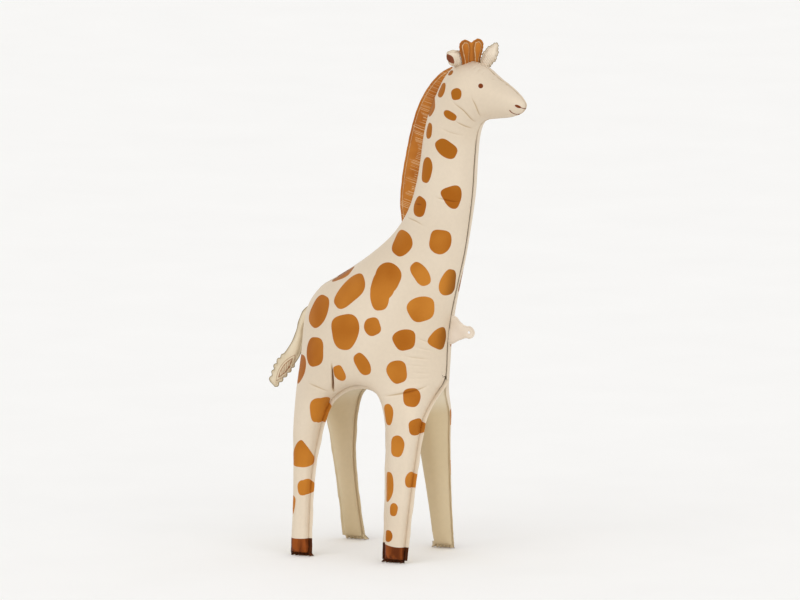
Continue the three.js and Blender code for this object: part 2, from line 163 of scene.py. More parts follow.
def depth_inside(edge, a, b):
    """Distance to a closed outline, positive inside, and the number of the nearest stretch of it."""
    a, b = np.broadcast_arrays(np.asarray(a, float), np.asarray(b, float))
    nearest = np.full(a.shape, np.inf)
    stretch = np.zeros(a.shape, int)
    inside = np.zeros(a.shape, bool)
    for n, ((a0, b0), (a1, b1)) in enumerate(zip(edge, np.roll(edge, -1, axis=0))):
        da, db = a1 - a0, b1 - b0
        t = np.clip(((a - a0) * da + (b - b0) * db) / max(da * da + db * db, 1e-9), 0, 1)
        gap = (a - a0 - t * da) ** 2 + (b - b0 - t * db) ** 2
        stretch = np.where(gap < nearest, n, stretch)
        nearest = np.minimum(nearest, gap)
        if db:
            inside ^= ((b1 > b) != (b0 > b)) & (a < da * (b - b0) / db + a0)
    return np.where(inside, 1, -1) * np.sqrt(nearest), stretch


class Film:
    """A flat film inside an outline, on a grid: its depth from the edge and what settles on it."""

    def __init__(self, edge, step, inset=0):
        low = edge.min(axis=0) - 3 * step
        size = np.ceil((edge.max(axis=0) + 3 * step - low) / step).astype(int) + 1
        self.low, self.step = low, step
        self.a = low[0] + step * np.arange(size[0])[:, None]
        self.b = low[1] + step * np.arange(size[1])[None, :]
        self.depth = depth_inside(edge, self.a, self.b)[0] - inset
        self.rate = None

    def settle(self, load, held, sweeps=500):
        """Relaxes the film under a load, held at its edge."""
        film = np.broadcast_to(held, self.depth.shape).astype(float).copy()
        inside = self.depth > 0
        odd = np.add.outer(*map(np.arange, film.shape)) % 2 == 1
        sides = []
        for axis, way in ((0, 1), (0, -1), (1, 1), (1, -1)):
            there = np.roll(self.depth, way, axis)
            reach = self.depth / np.maximum(self.depth - there, 1e-9)
            share = np.where(there > 0, 1, np.clip(reach, SHORTEST_STEP, 1))
            edge = film * (1 - share) + np.roll(film, way, axis) * share
            sides.append((axis, way, there > 0, 1 / share, edge / share))
        total = sum(weight for _, _, _, weight, _ in sides)
        for sweep in range(2 * sweeps):
            pull = load * self.step ** 2
            for axis, way, free, weight, edge in sides:
                pull = pull + np.where(free, np.roll(film, way, axis) * weight, edge)
            move = inside & (odd == (sweep % 2 == 0))
            film[move] += OVER_RELAX * (pull / total - film)[move]
        return film

    def per_depth(self, film, passes=5):
        """The settled film for each millimetre in from the edge, carried on past the edge."""
        known = self.depth > 0.8 * self.step
        rate = np.where(known, film / np.where(known, self.depth, 1), 0)
        for _ in range(passes):
            total, count = np.zeros_like(rate), np.zeros_like(rate)
            for da in (-1, 0, 1):
                for db in (-1, 0, 1):
                    total += np.roll(rate * known, (da, db), (0, 1))
                    count += np.roll(known, (da, db), (0, 1))
            rate = np.where(known, rate, total / np.maximum(count, 1))
            known = known | (count > 0)
        return rate

    def read(self, values, a, b):
        """A value between the grid's points."""
        fa = np.clip((np.asarray(a) - self.low[0]) / self.step, 0, values.shape[0] - 1.001)
        fb = np.clip((np.asarray(b) - self.low[1]) / self.step, 0, values.shape[1] - 1.001)
        i, j = fa.astype(int), fb.astype(int)
        s, t = fa - i, fb - j
        return ((1 - s) * ((1 - t) * values[i, j] + t * values[i, j + 1])
                + s * ((1 - t) * values[i + 1, j] + t * values[i + 1, j + 1]))

    def half_thickness(self, a, b):
        """Half the thickness of the blown pocket, round where the film is a long strip."""
        if self.rate is None:
            self.rate = self.per_depth(self.settle(2, 0))
        return np.sqrt(np.maximum(self.read(self.depth, a, b) * self.read(self.rate, a, b), 0))


# %% [markdown]
# ## The seam's spread
# Along the back, neck and head the two halves meet in the middle plane. Above the legs the seam forks, and
# each leg carries its own seam outwards to its hoof, so the legs stand apart. A second film, with no load
# and held at the seam's distance from the middle plane, carries that spread smoothly across the panels.

# %% Spread the legs
HOOF_SPREAD = {"hind": 163, "front": 149}
LEG_SPLAY = {"hind": 0.165, "front": 0.17}
BELLY_SPREAD = 87
FORK = {"hind": (330, 600), "front": (390, 535)}


def smooth(low, high, value):
    t = np.clip((np.asarray(value, float) - low) / (high - low), 0, 1)
    return t * t * (3 - 2 * t)


def seam_spread(x, z, on_outer):
    """How far the seam stands out from the middle plane."""
    def leg(name):
        spread = HOOF_SPREAD[name] - LEG_SPLAY[name] * np.maximum(z, 0)
        outer = np.maximum(spread, 0) * (1 - smooth(*FORK[name], z))
        return np.where(on_outer, outer, np.maximum(BELLY_SPREAD, spread))
    return np.where(x < 0, leg("hind"), leg("front"))


body_film = Film(outline, step=5)
nearest = depth_inside(outline, body_film.a, body_film.b)[1]
swell_rate = body_film.per_depth(body_film.settle(2, 0))
spread = body_film.settle(0, seam_spread(body_film.a, body_film.b, nearest < len(outer_edge)))
print("largest half thickness", round(float(np.sqrt((swell_rate * body_film.depth).max())), 1), "mm")

# %% [markdown]
# ## The blown body
# The air chamber is where the swelling is larger than the distance from the seam's surface. Blender's
# Remesh could wrap such a shape from loose parts, but the shape is known as a rule, so a net of quads is
# laid through every grid box that the rule cuts and each corner is drawn onto the surface. The quads are
# even, which creases need later.

# %% Lay a skin over the rule
TORSO_FLATNESS = 0.73
TORSO_FLAT = {"low": 380, "full": 540, "neck": 880, "high": 1080}
BELLY_ROUND = 0.3
SKIN_STEP = 5.2
SKIN_BOX = {"x": (-242, 504), "y": (-214, 215), "z": (-3, 1446)}


def off_seam(x, y, z):
    """Distance from the seam's surface: positive on the printed outer panel, negative on the inner one."""
    out = np.maximum(body_film.read(spread, x, z), 0)
    return np.hypot(y, BELLY_ROUND * out) - out * math.hypot(1, BELLY_ROUND)


def swelling(x, z):
    flat = smooth(TORSO_FLAT["low"], TORSO_FLAT["full"], z)
    flat = flat * (1 - smooth(TORSO_FLAT["neck"], TORSO_FLAT["high"], z))
    share = 1 - (1 - TORSO_FLATNESS) * flat
    return body_film.read(body_film.depth, x, z) * body_film.read(swell_rate, x, z) * share ** 2


def chamber(x, y, z):
    return swelling(x, z) - off_seam(x, y, z) ** 2


def slope(rule, p, reach=0.6):
    steps = np.eye(3) * reach
    return np.stack([rule(*(p + s).T) - rule(*(p - s).T) for s in steps], axis=1) / (2 * reach)


def drawn_on(rule, points, limit):
    """Draws points one step towards the surface of a rule."""
    g = slope(rule, points)
    step = rule(*points.T) / np.maximum((g * g).sum(axis=1), 1e-6)
    return points - np.clip(step, -limit, limit)[:, None] * g


def skin(rule, xs, ys, zs):
    """Points and quads where a rule changes from inside, which is positive, to outside."""
    value = rule(xs[:, None, None], ys[None, :, None], zs[None, None, :])
    inside = value > 0
    corner = np.array([[c & 1, c >> 1 & 1, c >> 2] for c in range(8)])
    size = np.array(value.shape) - 1
    tally = sum(inside[i:i + size[0], j:j + size[1], k:k + size[2]].astype(int) for i, j, k in corner)
    cells = np.argwhere((tally > 0) & (tally < 8))
    number = np.full(size, -1)
    number[tuple(cells.T)] = np.arange(len(cells))
    at = cells[:, None, :] + corner
    v = value[at[..., 0], at[..., 1], at[..., 2]]
    place = np.stack([xs[at[..., 0]], ys[at[..., 1]], zs[at[..., 2]]], axis=-1)
    total, cuts = np.zeros((len(cells), 3)), np.zeros((len(cells), 1))
    for a in range(8):
        for b in (a | 1, a | 2, a | 4):
            cut = ((v[:, a] > 0) != (v[:, b] > 0))[:, None]
            t = (v[:, a] / np.where(v[:, a] == v[:, b], 1, v[:, a] - v[:, b]))[:, None]
            total += np.where(cut, place[:, a] + t * (place[:, b] - place[:, a]), 0)
            cuts += cut
    points = total / cuts
    for _ in range(3):
        points = drawn_on(rule, points, 1)
        points = np.clip(points, place[:, 0] - 1, place[:, 7] + 1)
    quads = []
    for axis in range(3):
        low, high = [slice(1, -1)] * 3, [slice(1, -1)] * 3
        low[axis], high[axis] = slice(None, -1), slice(1, None)
        first = inside[tuple(low)]
        found = np.argwhere(first != inside[tuple(high)])
        outward = first[tuple(found.T)]
        found += np.where(np.arange(3) == axis, 0, 1)
        ring = []
        for du, dw in ((-1, -1), (0, -1), (0, 0), (-1, 0)):
            shift = np.zeros(3, int)
            shift[(axis + 1) % 3], shift[(axis + 2) % 3] = du, dw
            ring.append(number[tuple((found + shift).T)])
        ring = np.stack(ring, axis=1)
        quads.append(np.where(outward[:, None], ring, ring[:, ::-1]))
    return points, np.vstack(quads)


points, quads = skin(chamber, *(np.arange(*limits, SKIN_STEP) for limits in SKIN_BOX.values()))
print("skin:", len(points), "points,", len(quads), "quads, lowest", points[:, 2].min().round(1))

# %% [markdown]
# ## Creases
# Blown film can't stretch, so it folds where it is pushed together: under the chin, round the neck, above
# the legs and beside the belly's arch. A bump map would vanish at the outline, so the folds move the mesh
# itself: a narrow groove along a line on the panel, with a low ridge on each side, fading out at both ends.

# %% Fold the film
# line on the panel as x, z, depth of the groove and its width
CREASES = {
    "jaw": ([(291, 1326), (327, 1299), (344, 1264)], 1.8, 3),
    "jaw_front": ([(348, 1344), (361, 1315), (364, 1282)], 1.5, 2.8),
    "throat": ([(295, 1273), (332, 1246)], 1.4, 2.8),
    "upper_neck": ([(249, 1248), (316, 1226)], 0.8, 3),
    "neck_front": ([(240, 1049), (262, 1044), (281, 1038), (298, 1035)], 1.8, 3),
    "neck_back": ([(170, 1024), (198, 1024)], 1.6, 3),
    "withers": ([(133, 982), (177, 975), (207, 962)], 1.2, 3.5),
    "flank_fold": ([(-63, 556), (-61, 525), (-62, 500), (-69, 472)], 6.0, 3.6),
    "brow_1": ([(337, 1424), (336, 1420), (333, 1413)], 0.7, 2.4),
    "brow_2": ([(350, 1419), (350, 1415), (348, 1408)], 0.8, 2.4),
    "brow_3": ([(365, 1412), (364, 1408), (363, 1401)], 0.6, 2.4),
    "nose_bridge": ([(388, 1390), (394, 1390), (398, 1388)], 0.9, 2.4),
    "hip": ([(-150, 494), (-104, 483), (-77, 472)], 1.2, 3.5),
    "elbow": ([(100, 474), (150, 484), (191, 495), (206, 503)], 2.4, 3.5),
    "chest_1": ([(186, 641), (212, 627)], 0.8, 2.6),
    "chest_2": ([(178, 617), (216, 603)], 0.7, 2.6),
    "chest_3": ([(150, 592), (211, 578)], 0.9, 2.6),
    "chest_4": ([(158, 566), (212, 556)], 0.5, 2.6),
    "chest_5": ([(172, 543), (210, 537)], 0.6, 2.6),
    "chest_6": ([(166, 525), (212, 523)], 0.5, 2.6),
}
FAR_SIDE_CREASE = 0.6
RIDGE = {"height": 0.35, "off": 2.1}
SPLIT_REACH = 8


def panel_height(x, z):
    """How far the printed panel stands out from the middle plane."""
    out = np.maximum(body_film.read(spread, x, z), 0)
    reach = out * math.hypot(1, BELLY_ROUND) + np.sqrt(np.maximum(swelling(x, z), 0))
    return np.sqrt(np.maximum(reach ** 2 - (BELLY_ROUND * out) ** 2, 0))


def along(path, p):
    """Distance of each point from a line in space, and how far along it lies, from 0 to 1."""
    run = np.concatenate([[0], np.cumsum(np.linalg.norm(np.diff(path, axis=0), axis=1))])
    best, share = np.full(len(p), np.inf), np.zeros(len(p))
    for n, (a, b) in enumerate(zip(path[:-1], path[1:])):
        t = np.clip((p - a) @ (b - a) / ((b - a) @ (b - a)), 0, 1)
        gap = np.linalg.norm(p - a - t[:, None] * (b - a), axis=1)
        share = np.where(gap < best, (run[n] + t * (run[n + 1] - run[n])) / run[-1], share)
        best = np.minimum(best, gap)
    return best, share


crease_lines = []
for line, deep, wide in CREASES.values():
    flat = curve(line, 6)
    for side, share in ((-1, 1), (1, FAR_SIDE_CREASE)):
        path = np.column_stack([flat[:, 0], side * panel_height(*flat.T), flat[:, 1]])
        crease_lines.append((path, deep * share, wide))


def split_near(points, quads, lines, reach):
    """Splits the quads near the lines, so that a groove has points enough."""
    close = np.zeros(len(points), bool)
    for path, _, _ in lines:
        box = (points > path.min(axis=0) - reach) & (points < path.max(axis=0) + reach)
        some = np.flatnonzero(box.all(axis=1))
        close[some[along(path, points[some])[0] < reach]] = True
    mesh = bpy.data.meshes.new("split")
    mesh.from_pydata(points.tolist(), [], quads.tolist())
    net = bmesh.new()
    net.from_mesh(mesh)
    net.verts.ensure_lookup_table()
    chosen = [e for e in net.edges if close[e.verts[0].index] and close[e.verts[1].index]]
    bmesh.ops.subdivide_edges(net, edges=chosen, cuts=2, use_grid_fill=True)
    bmesh.ops.triangulate(net, faces=[f for f in net.faces if len(f.verts) > 4])
    net.to_mesh(mesh)
    net.free()
    p = np.empty(len(mesh.vertices) * 3)
    mesh.vertices.foreach_get("co", p)
    faces = [tuple(f.vertices) for f in mesh.polygons]
    bpy.data.meshes.remove(mesh)
    return p.reshape(-1, 3), faces


points, faces = split_near(points, quads, crease_lines, SPLIT_REACH)
for _ in range(2):
    points = drawn_on(chamber, points, 0.5)
outward = -slope(chamber, points)
outward /= np.linalg.norm(outward, axis=1)[:, None] + 1e-9
smooth_points = points.copy()
fold = np.zeros(len(points))
for path, deep, wide in crease_lines:
    gap, share = along(path, smooth_points)
    fade = np.sin(np.pi * np.clip(share, 0.03, 0.97)) ** 0.6
    ridge = RIDGE["height"] * np.exp(-((gap - RIDGE["off"] * wide) / wide) ** 2)
    groove = np.exp(-(gap / wide) ** 2) - ridge
    groove *= fade * (gap < 5 * wide)
    points = points - outward * (deep * groove)[:, None]
    # Painted shade: each crease also stores how dark its line is painted, strongest on the deep folds.
    line = np.exp(-(gap / (0.75 * wide)) ** 2) * fade
    shown = 0.35 * min(deep / 1.5, 1) + 0.65 * smooth(2, 5, deep)
    fold = np.maximum(fold, line * shown)
print("creased skin:", len(points), "points,", len(faces), "faces")

# %% [markdown]
# ## Puckers along the seam
# Where a seam bends, the film next to it has more length than it needs and gathers into short puckers
# square to the seam. They are a few sine waves that run along the seam and die out within a few centimetres
# of it, stronger round the muzzle, the crown and the hooves than along the straight back.

# %% Pucker the edges
PUCKER_HEIGHT = 0.9
PUCKER_REACH = 26
PUCKER_LENGTHS = (13.0, 19.0, 31.0)
PUCKER_SHARE = {"seam": 0.35, "hooves": 0.9, "arch": 0.6}
PUCKER_ZONE = {"hooves": (20, 70), "arch": (420, 470), "above_arch": (520, 600), "head": (1230, 1330)}
z = smooth_points[:, 2]
depth, stretch = depth_inside(outline, smooth_points[:, 0], z)
off = off_seam(*smooth_points.T)
from_seam = np.hypot(off, np.maximum(depth, 0))
run = EDGE_STEP * stretch + 3 * np.sin(z / 9)
waves = [np.sin(2 * np.pi * run / length + n) for n, length in enumerate(PUCKER_LENGTHS)]
wave = sum(waves) / len(PUCKER_LENGTHS)
strength = (PUCKER_SHARE["seam"] + smooth(*PUCKER_ZONE["head"], z)
            + PUCKER_SHARE["hooves"] * (1 - smooth(*PUCKER_ZONE["hooves"], z))
            + PUCKER_SHARE["arch"] * smooth(*PUCKER_ZONE["arch"], z)
            * (1 - smooth(*PUCKER_ZONE["above_arch"], z)))
points = points + outward * (PUCKER_HEIGHT * wave * strength * np.exp(-from_seam / PUCKER_REACH))[:, None]
print("pucker height up to", round(float((PUCKER_HEIGHT * strength).max()), 2), "mm")

# %% [markdown]
# ## The print
# The coat is printed on the flat panels before they are sealed: rounded brown patches with soft corners.
# They are only colour, so they don't raise the mesh. Each vertex stores how far inside the nearest patch it
# lies, measured in the panel's own tangent plane, and the material turns that distance into a crisp edge. A
# texture image could hold the print too, but a distance stays sharp at any size.

# %% Lay out the patches
# Patches from the head down, then the hind leg and the front leg. Each is its place x and z on the panel,
# half width, half height, lean of the top in degrees, and taper towards the bottom.
PATCHES = [
    (263, 1401, 12, 9, 0, 0), (245, 1353, 17, 22, 2, -0.1), (302, 1348, 17, 17, -15, 0),
    (204, 1300, 30, 26, 15, 0), (284, 1286, 21, 12, 25, 0), (210, 1235, 15, 23, 3, 0),
    (270, 1189, 34, 23, 36, 0), (208, 1124, 21, 37, 5, 0), (285, 1048, 27, 34, -15, 0.4),
    (187, 1018, 24, 30, 18, 0), (128, 908, 36, 37, 20, 0.1), (247, 919, 31, 36, 10, 0.1),
    (96, 812, 43, 42, 12, 0), (84, 788, 38, 42, 0, 0), (80, 762, 31, 45, -4, 0.1),
    (195, 826, 22, 37, -35, 0), (258, 800, 27, 39, 6, -0.2), (-29, 762, 40, 60, 38, 0.1),
    (-136, 695, 44, 48, 12, 0), (-22, 650, 47, 51, -10, 0.24), (66, 672, 25, 26, -22, 0),
    (197, 725, 39, 36, -14, 0.05), (156, 637, 32, 30, -12, 0.1), (228, 639, 29, 32, 26, -0.4),
    (-132, 582, 42, 42, -10, 0.05), (40, 564, 21, 34, -32, 0), (-36, 531, 18, 24, -24, 0.1),
    (138, 545, 28, 33, -16, 0.1), (-197, 522, 38, 42, 0, 0.2), (-88, 797, 28, 46, 50, 0),
    (-116, 417, 22, 37, 0, 0), (-109, 418, 26, 41, -4, 0), (-160, 291, 28, 39, 0, -0.55),
    (-151, 194, 14, 22, 0, 0), (-141, 197, 20, 22, -8, 0), (-181, 142, 13, 28, 0, 0),
    (176, 472, 26, 27, 4, 0.05), (116, 423, 17, 31, 0, 0), (190, 388, 26, 24, -8, 0),
    (147, 335, 20, 31, 3, 0), (120, 217, 21, 43, 0, 0), (179, 238, 19, 23, 5, -0.15),
    (145, 155, 12, 19, 3, 0), (131, 79, 15, 17, 0, 0),
]
PATCH_ROUNDNESS = 2.5
PATCH_WAVER = {3: 0.012, 5: 0.02}
PATCH_WRAP = 0.9
PATCH_REACH = 130
UNPRINTED = -30.0
FAR_FROM_SEAM = 30
FORKED = 2


def patch_depth(p, centre, normal, wide, high, lean, taper):
    """How far inside a soft-cornered patch each point lies, seen along the panel's own normal there."""
    across = np.cross((0, 0, 1), normal)
    across *= np.sign(across[0]) / np.linalg.norm(across)
    upward = np.cross(normal, across)
    upward *= np.sign(upward[2])
    q = p - centre
    a, b = q @ across, q @ upward
    s, c = math.sin(math.radians(lean)), math.cos(math.radians(lean))
    a, b = a * c - b * s, (a * s + b * c) / high
    a = a / (wide * np.clip(1 + taper * b, 0.2, 2))
    reach = (np.abs(a) ** PATCH_ROUNDNESS + np.abs(b) ** PATCH_ROUNDNESS) ** (1 / PATCH_ROUNDNESS)
    turn = np.arctan2(b, a)
    reach *= 1 + sum(deep * np.sin(lobes * turn + centre[2] / 7) for lobes, deep in PATCH_WAVER.items())
    facing = np.abs(q @ normal) < PATCH_WRAP * max(wide, high)
    return np.where(facing, (1 - reach) * min(wide, high), UNPRINTED)


def print_depth(p):
    """The deepest of all patches at each point, on both sides of the giraffe."""
    depth = np.full(len(p), UNPRINTED)
    for x, z, *shape in PATCHES:
        for side in (-1, 1):
            centre = np.array([[x, side * float(panel_height(x, z)), z]])
            normal = -slope(chamber, centre)[0]
            normal = normal / np.linalg.norm(normal)
            near = np.linalg.norm(p - centre, axis=1) < PATCH_REACH
            near &= p[:, 1] * side > -2
            depth[near] = np.maximum(depth[near], patch_depth(p[near], centre[0], normal, *shape))
    return depth


def as_mesh(name, points, faces, **values):
    """A smooth mesh object in the frame, with one value for all, or one for each vertex, under each name."""
    mesh = bpy.data.meshes.new(name)
    placed = (np.asarray(points) + (FEET_X, 0, 0)) * MM
    mesh.from_pydata(placed.tolist(), [], [list(map(int, f)) for f in faces])
    mesh.update()
    mesh.shade_smooth()
    for label, value in values.items():
        stored = np.broadcast_to(value, len(points)).astype(np.float32)
        mesh.attributes.new(label, "FLOAT", "POINT").data.foreach_set("value", stored)
    piece = bpy.data.objects.new(name, mesh)
    scene.collection.objects.link(piece)
    return piece


on_leg = body_film.read(spread, smooth_points[:, 0], z) > FORKED
seam_side = np.where(on_leg, off, smooth_points[:, 1])
body = as_mesh("printed_body", points, faces, patch=print_depth(smooth_points), panel=off,
               seam_side=seam_side, seam=from_seam, fold=fold)
print("printed body:", len(body.data.polygons), "faces,", len(PATCHES), "patches on each side")

# %% [markdown]
# ## The seal flange
# Outside the seam the two films lie flat on each other in a narrow strip. It is what gives away a foil
# balloon, so it is a real strip of mesh: one in the middle plane over the back, head and chest, and one on
# each side down the legs and round the belly's arch. It wavers a little, and it is wider in some places
# than in others, as a strip is that is cut by hand.

# %% Cut the flange
HIND_FLANGE = {"back": {-1: 2.5, 1: 11.0}, "front": {-1: 11.5, 1: 8.0}}
FRONT_FLANGE = {"back": {-1: 11.0, 1: 2.5}, "front": {-1: 13.0, 1: 4.0}}
CHEST_FLANGE = 4.0
BACK_FLANGE = 2.0
FLANGE_THICK = 0.8
FLANGE_ROWS = (-0.15, 0.3, 0.65, 1.0)
MIDDLE_PLANE = 1.5
CHEST_FROM, CHEST_UNTIL = (200, 240), (1180, 1260)
ARCH_MIDDLE = (-60, 40)


def ribbon(rows, thick):
    """A thin closed ribbon through rows of points, with one face on each side of them."""
    half = np.array((0, thick / 2, 0))
    ring = [row + half for row in rows] + [row - half for row in rows[::-1]]
    count, sides = len(rows[0]), len(ring)
    points = np.stack(ring, axis=1).reshape(-1, 3)
    faces = []
    for r in range(count - 1):
        for n in range(sides):
            m = (n + 1) % sides
            faces.append((r * sides + n, r * sides + m, (r + 1) * sides + m, (r + 1) * sides + n))
    faces += [tuple(range(sides))[::-1], tuple((count - 1) * sides + n for n in range(sides))]
    return points, faces


def strip(path, wide, y, waver=0.7):
    """A thin closed strip from a seam outwards: path in the side plane, y from the middle plane."""
    tangent = np.gradient(path, axis=0)
    tangent /= np.linalg.norm(tangent, axis=1)[:, None]
    normal = np.column_stack([-tangent[:, 1], tangent[:, 0]])
    run = np.arange(len(path)) * EDGE_STEP
    bend = waver * (np.sin(run / 11) + 0.6 * np.sin(run / 5.3 + 1))
    rows = []
    for share in FLANGE_ROWS:
        edge = path + normal * (wide * share * (1 + 0.05 * np.sin(run / 17)))[:, None]
        out = y(edge[:, 0], edge[:, 1]) + bend * share
        rows.append(np.column_stack([edge[:, 0], out, edge[:, 1]]))
    return ribbon(rows, FLANGE_THICK)


def join(parts):
    """Several meshes as one."""
    points, faces, base = [], [], 0
    for p, f in parts:
        points.append(p)
        faces += [tuple(n + base for n in face) for face in f]
        base += len(p)
    return np.vstack(points), faces


def outer_face(ribbons):
    """1 on the face of each ribbon that looks away from the middle plane, -1 on the other."""
    y = np.vstack([p for p, _ in ribbons])[:, 1]
    rows = len(FLANGE_ROWS)
    up_side = np.tile(np.repeat((1, -1), rows), len(y) // (2 * rows))
    return np.where(np.abs(y) < MIDDLE_PLANE, 1, up_side * np.sign(y))


def seam_y(side, on_outer):
    """Where a seam lies on one side of the middle plane."""
    return lambda x, z: side * seam_spread(x, z, on_outer)


spread_outer = seam_spread(outer_edge[:, 0], outer_edge[:, 1], True)
first, last = np.flatnonzero(spread_outer < MIDDLE_PLANE)[[0, -1]]
centre_path = outer_edge[first:last + 1]
on_chest = smooth(*CHEST_FROM, centre_path[:, 0]) * (1 - smooth(*CHEST_UNTIL, centre_path[:, 1]))
centre_wide = BACK_FLANGE + (CHEST_FLANGE - BACK_FLANGE) * on_chest
parts = [strip(centre_path, centre_wide, lambda x, z: 0 * x, waver=0.3)]
for side in (-1, 1):
    behind = smooth(*ARCH_MIDDLE, -inner_edge[:, 0])
    inner_wide = FRONT_FLANGE["back"][side] * (1 - behind) + HIND_FLANGE["front"][side] * behind
    parts.append(strip(outer_edge[:first], HIND_FLANGE["back"][side], seam_y(side, True)))
    parts.append(strip(outer_edge[last + 1:], FRONT_FLANGE["front"][side], seam_y(side, True)))
    parts.append(strip(inner_edge, inner_wide, seam_y(side, False)))
flange_points, flange_faces = join(parts)
flange = as_mesh("seal_flange", flange_points, flange_faces, patch=print_depth(flange_points),
                 panel=outer_face(parts), seam_side=FAR_FROM_SEAM, seam=FAR_FROM_SEAM, pressed=1)
print("flange:", len(flange_faces), "faces")

# %% [markdown]
# ## The crimped hooves
# Each leg ends in a straight seal. The giraffe stands on it, so the strip is crushed into a zigzag under
# the hoof. The zigzag is a thin closed strip again, folded to and fro like paper.

# %% Crimp the hooves
CRIMP_DEPTH = 5.0
CRIMP_PITCH = 11.0
CRIMP_THICK = 1.2
CRIMP_TILT = 0.3
CRIMP_INSET = 2
# height of each row, its share of the zigzag's swing, and how far its ends flare
CRIMP_ROWS = ((SOLE_SEAM + 9, 0.2, 0), (SOLE_SEAM, 0.5, 0), (4.5, 1, 2), (0.3, 1.25, 4))
CRIMPS = {
    "hind": {"from": HIND_LEG_BACK[0][0] - 4, "to": HIND_LEG_FRONT[-1][0] + 8, "kick": 5},
    "front": {"from": FRONT_LEG_BACK[0][0] - 8, "to": FRONT_LEG_FRONT[-1][0] + 5, "kick": -3},
}


def crimp(x0, x1, y, tilt, kick):
    """A zigzag strip from x0 to x1 under a hoof, pushed along by kick at the floor."""
    xs = np.arange(x0, x1 + 0.1, CRIMP_PITCH / 4)
    saw = np.abs(((xs - x0) / CRIMP_PITCH) % 1 - 0.5) * 4 - 1
    rows = []
    for height, swing, flare in CRIMP_ROWS:
        lift = height + (1.6 * np.abs(np.sin(xs * 0.9)) if height < 1 else 0)
        ends = smooth(0.6, 1, np.abs(2 * xs - x0 - x1) / (x1 - x0))
        pushed = xs + flare * np.sign(xs - (x0 + x1) / 2) * ends
        pushed += kick * smooth(0, 1, 1 - height / SOLE_SEAM)
        folded = y + tilt * (SOLE_SEAM - height) + CRIMP_DEPTH * swing * saw
        rows.append(np.column_stack([pushed, folded, np.broadcast_to(lift, xs.shape)]))
    return ribbon(rows, CRIMP_THICK)


parts = []
for side in (-1, 1):
    for leg, at in CRIMPS.items():
        hoof_y = side * (HOOF_SPREAD[leg] - CRIMP_INSET)
        parts.append(crimp(at["from"], at["to"], hoof_y, side * CRIMP_TILT, at["kick"]))
crimp_points, crimp_faces = join(parts)
crimps = as_mesh("hoof_crimps", crimp_points, crimp_faces, panel=outer_face(parts), patch=UNPRINTED,
                 seam_side=FAR_FROM_SEAM, seam=FAR_FROM_SEAM, pressed=1)
print("crimps:", len(crimp_faces), "faces")

# %% [markdown]
# ## Flat film pieces
# Mane, horns, ears, tail and tab are all made alike: two films with one outline, sealed to each other along
# a line a little inside it and blown up between. Blender's Delaunay fill makes an even net of triangles
# inside an outline. The net is then used twice, for the front and the back film, pushed apart by the
# thickness of the pocket, and a narrow wall joins the two along the cut edge.

# %% Make a film piece
FILM = 0.5
ROW_GAP = 0.866
EDGE_MARGIN = 0.6


def between(first, second):
    """One closed outline from two curves that run the same way."""
    return np.vstack([first, second[::-1]])


def film_piece(name, edge, place, thickness, step, bend=None, holes=(), **values):
    """A two-film piece: thickness, bend and values are rules of the place and its depth from the edge."""
    low, high = edge.min(axis=0), edge.max(axis=0)
    grid_a, grid_b = np.meshgrid(np.arange(low[0], high[0], step),
                                 np.arange(low[1], high[1], step * ROW_GAP))
    grid_a[1::2] += step / 2
    grid = np.column_stack([grid_a.ravel(), grid_b.ravel()])
    keep = depth_inside(edge, *grid.T)[0] > EDGE_MARGIN * step
    for hole in holes:
        keep &= depth_inside(hole, *grid.T)[0] < -EDGE_MARGIN * step
    rims = [edge, *holes]
    flat = np.vstack(rims + [grid[keep]])
    links, base = [], 0
    for rim in rims:
        links += [(base + n, base + (n + 1) % len(rim)) for n in range(len(rim))]
        base += len(rim)
    net = delaunay_2d_cdt([Vector(p) for p in flat], links, [], 0, 1e-6)
    flat = np.array([tuple(p) for p in net[0]])
    tris = np.array([f for f in net[2] if len(f) == 3])
    heart = flat[tris].mean(axis=1)
    inside = depth_inside(edge, *heart.T)[0] > 0
    for hole in holes:
        inside &= depth_inside(hole, *heart.T)[0] < 0
    tris = tris[inside]
    a, b, c = flat[tris[:, 0]], flat[tris[:, 1]], flat[tris[:, 2]]
    turned = np.cross(b - a, c - a) < 0
    tris[turned] = tris[turned][:, ::-1]
    used, tris = np.unique(tris, return_inverse=True)
    tris = tris.reshape(-1, 3)
    flat = flat[used]
    depth = np.maximum(depth_inside(edge, *flat.T)[0], 0)
    half = FILM + thickness(*flat.T)
    lean = bend(*flat.T, depth) if bend else np.zeros(len(flat))
    count = len(flat)
    sides = np.vstack([tris[:, [0, 1]], tris[:, [1, 2]], tris[:, [2, 0]]])
    seen = set(map(tuple, sides))
    rim = [(p, q) for p, q in seen if (q, p) not in seen]
    faces = [tuple(t) for t in tris] + [tuple(t[::-1] + count) for t in tris]
    faces += [(q, p, p + count, q + count) for p, q in rim]
    front = place(flat[:, 0], flat[:, 1], lean + half)
    rear = place(flat[:, 0], flat[:, 1], lean - half)
    stored = {label: np.tile(rule(*flat.T, depth), 2) for label, rule in values.items()}
    return as_mesh(name, np.vstack([front, rear]), faces, rim=np.tile(depth, 2),
                   face=np.repeat((1, -1), count), **stored)


def upright(a, b, c):
    """Flat pieces in the giraffe's middle plane: a forward, b up, c to its right."""
    return np.column_stack([a, -c, b])


# %% [markdown]
# ## The mane
# The mane is a long flap sealed along the back of the neck. Its outer edge carries a flat flange with a
# pressed seal line, and the pocket between seal and neck is only half full, so it gathers in short puckers
# along its root.

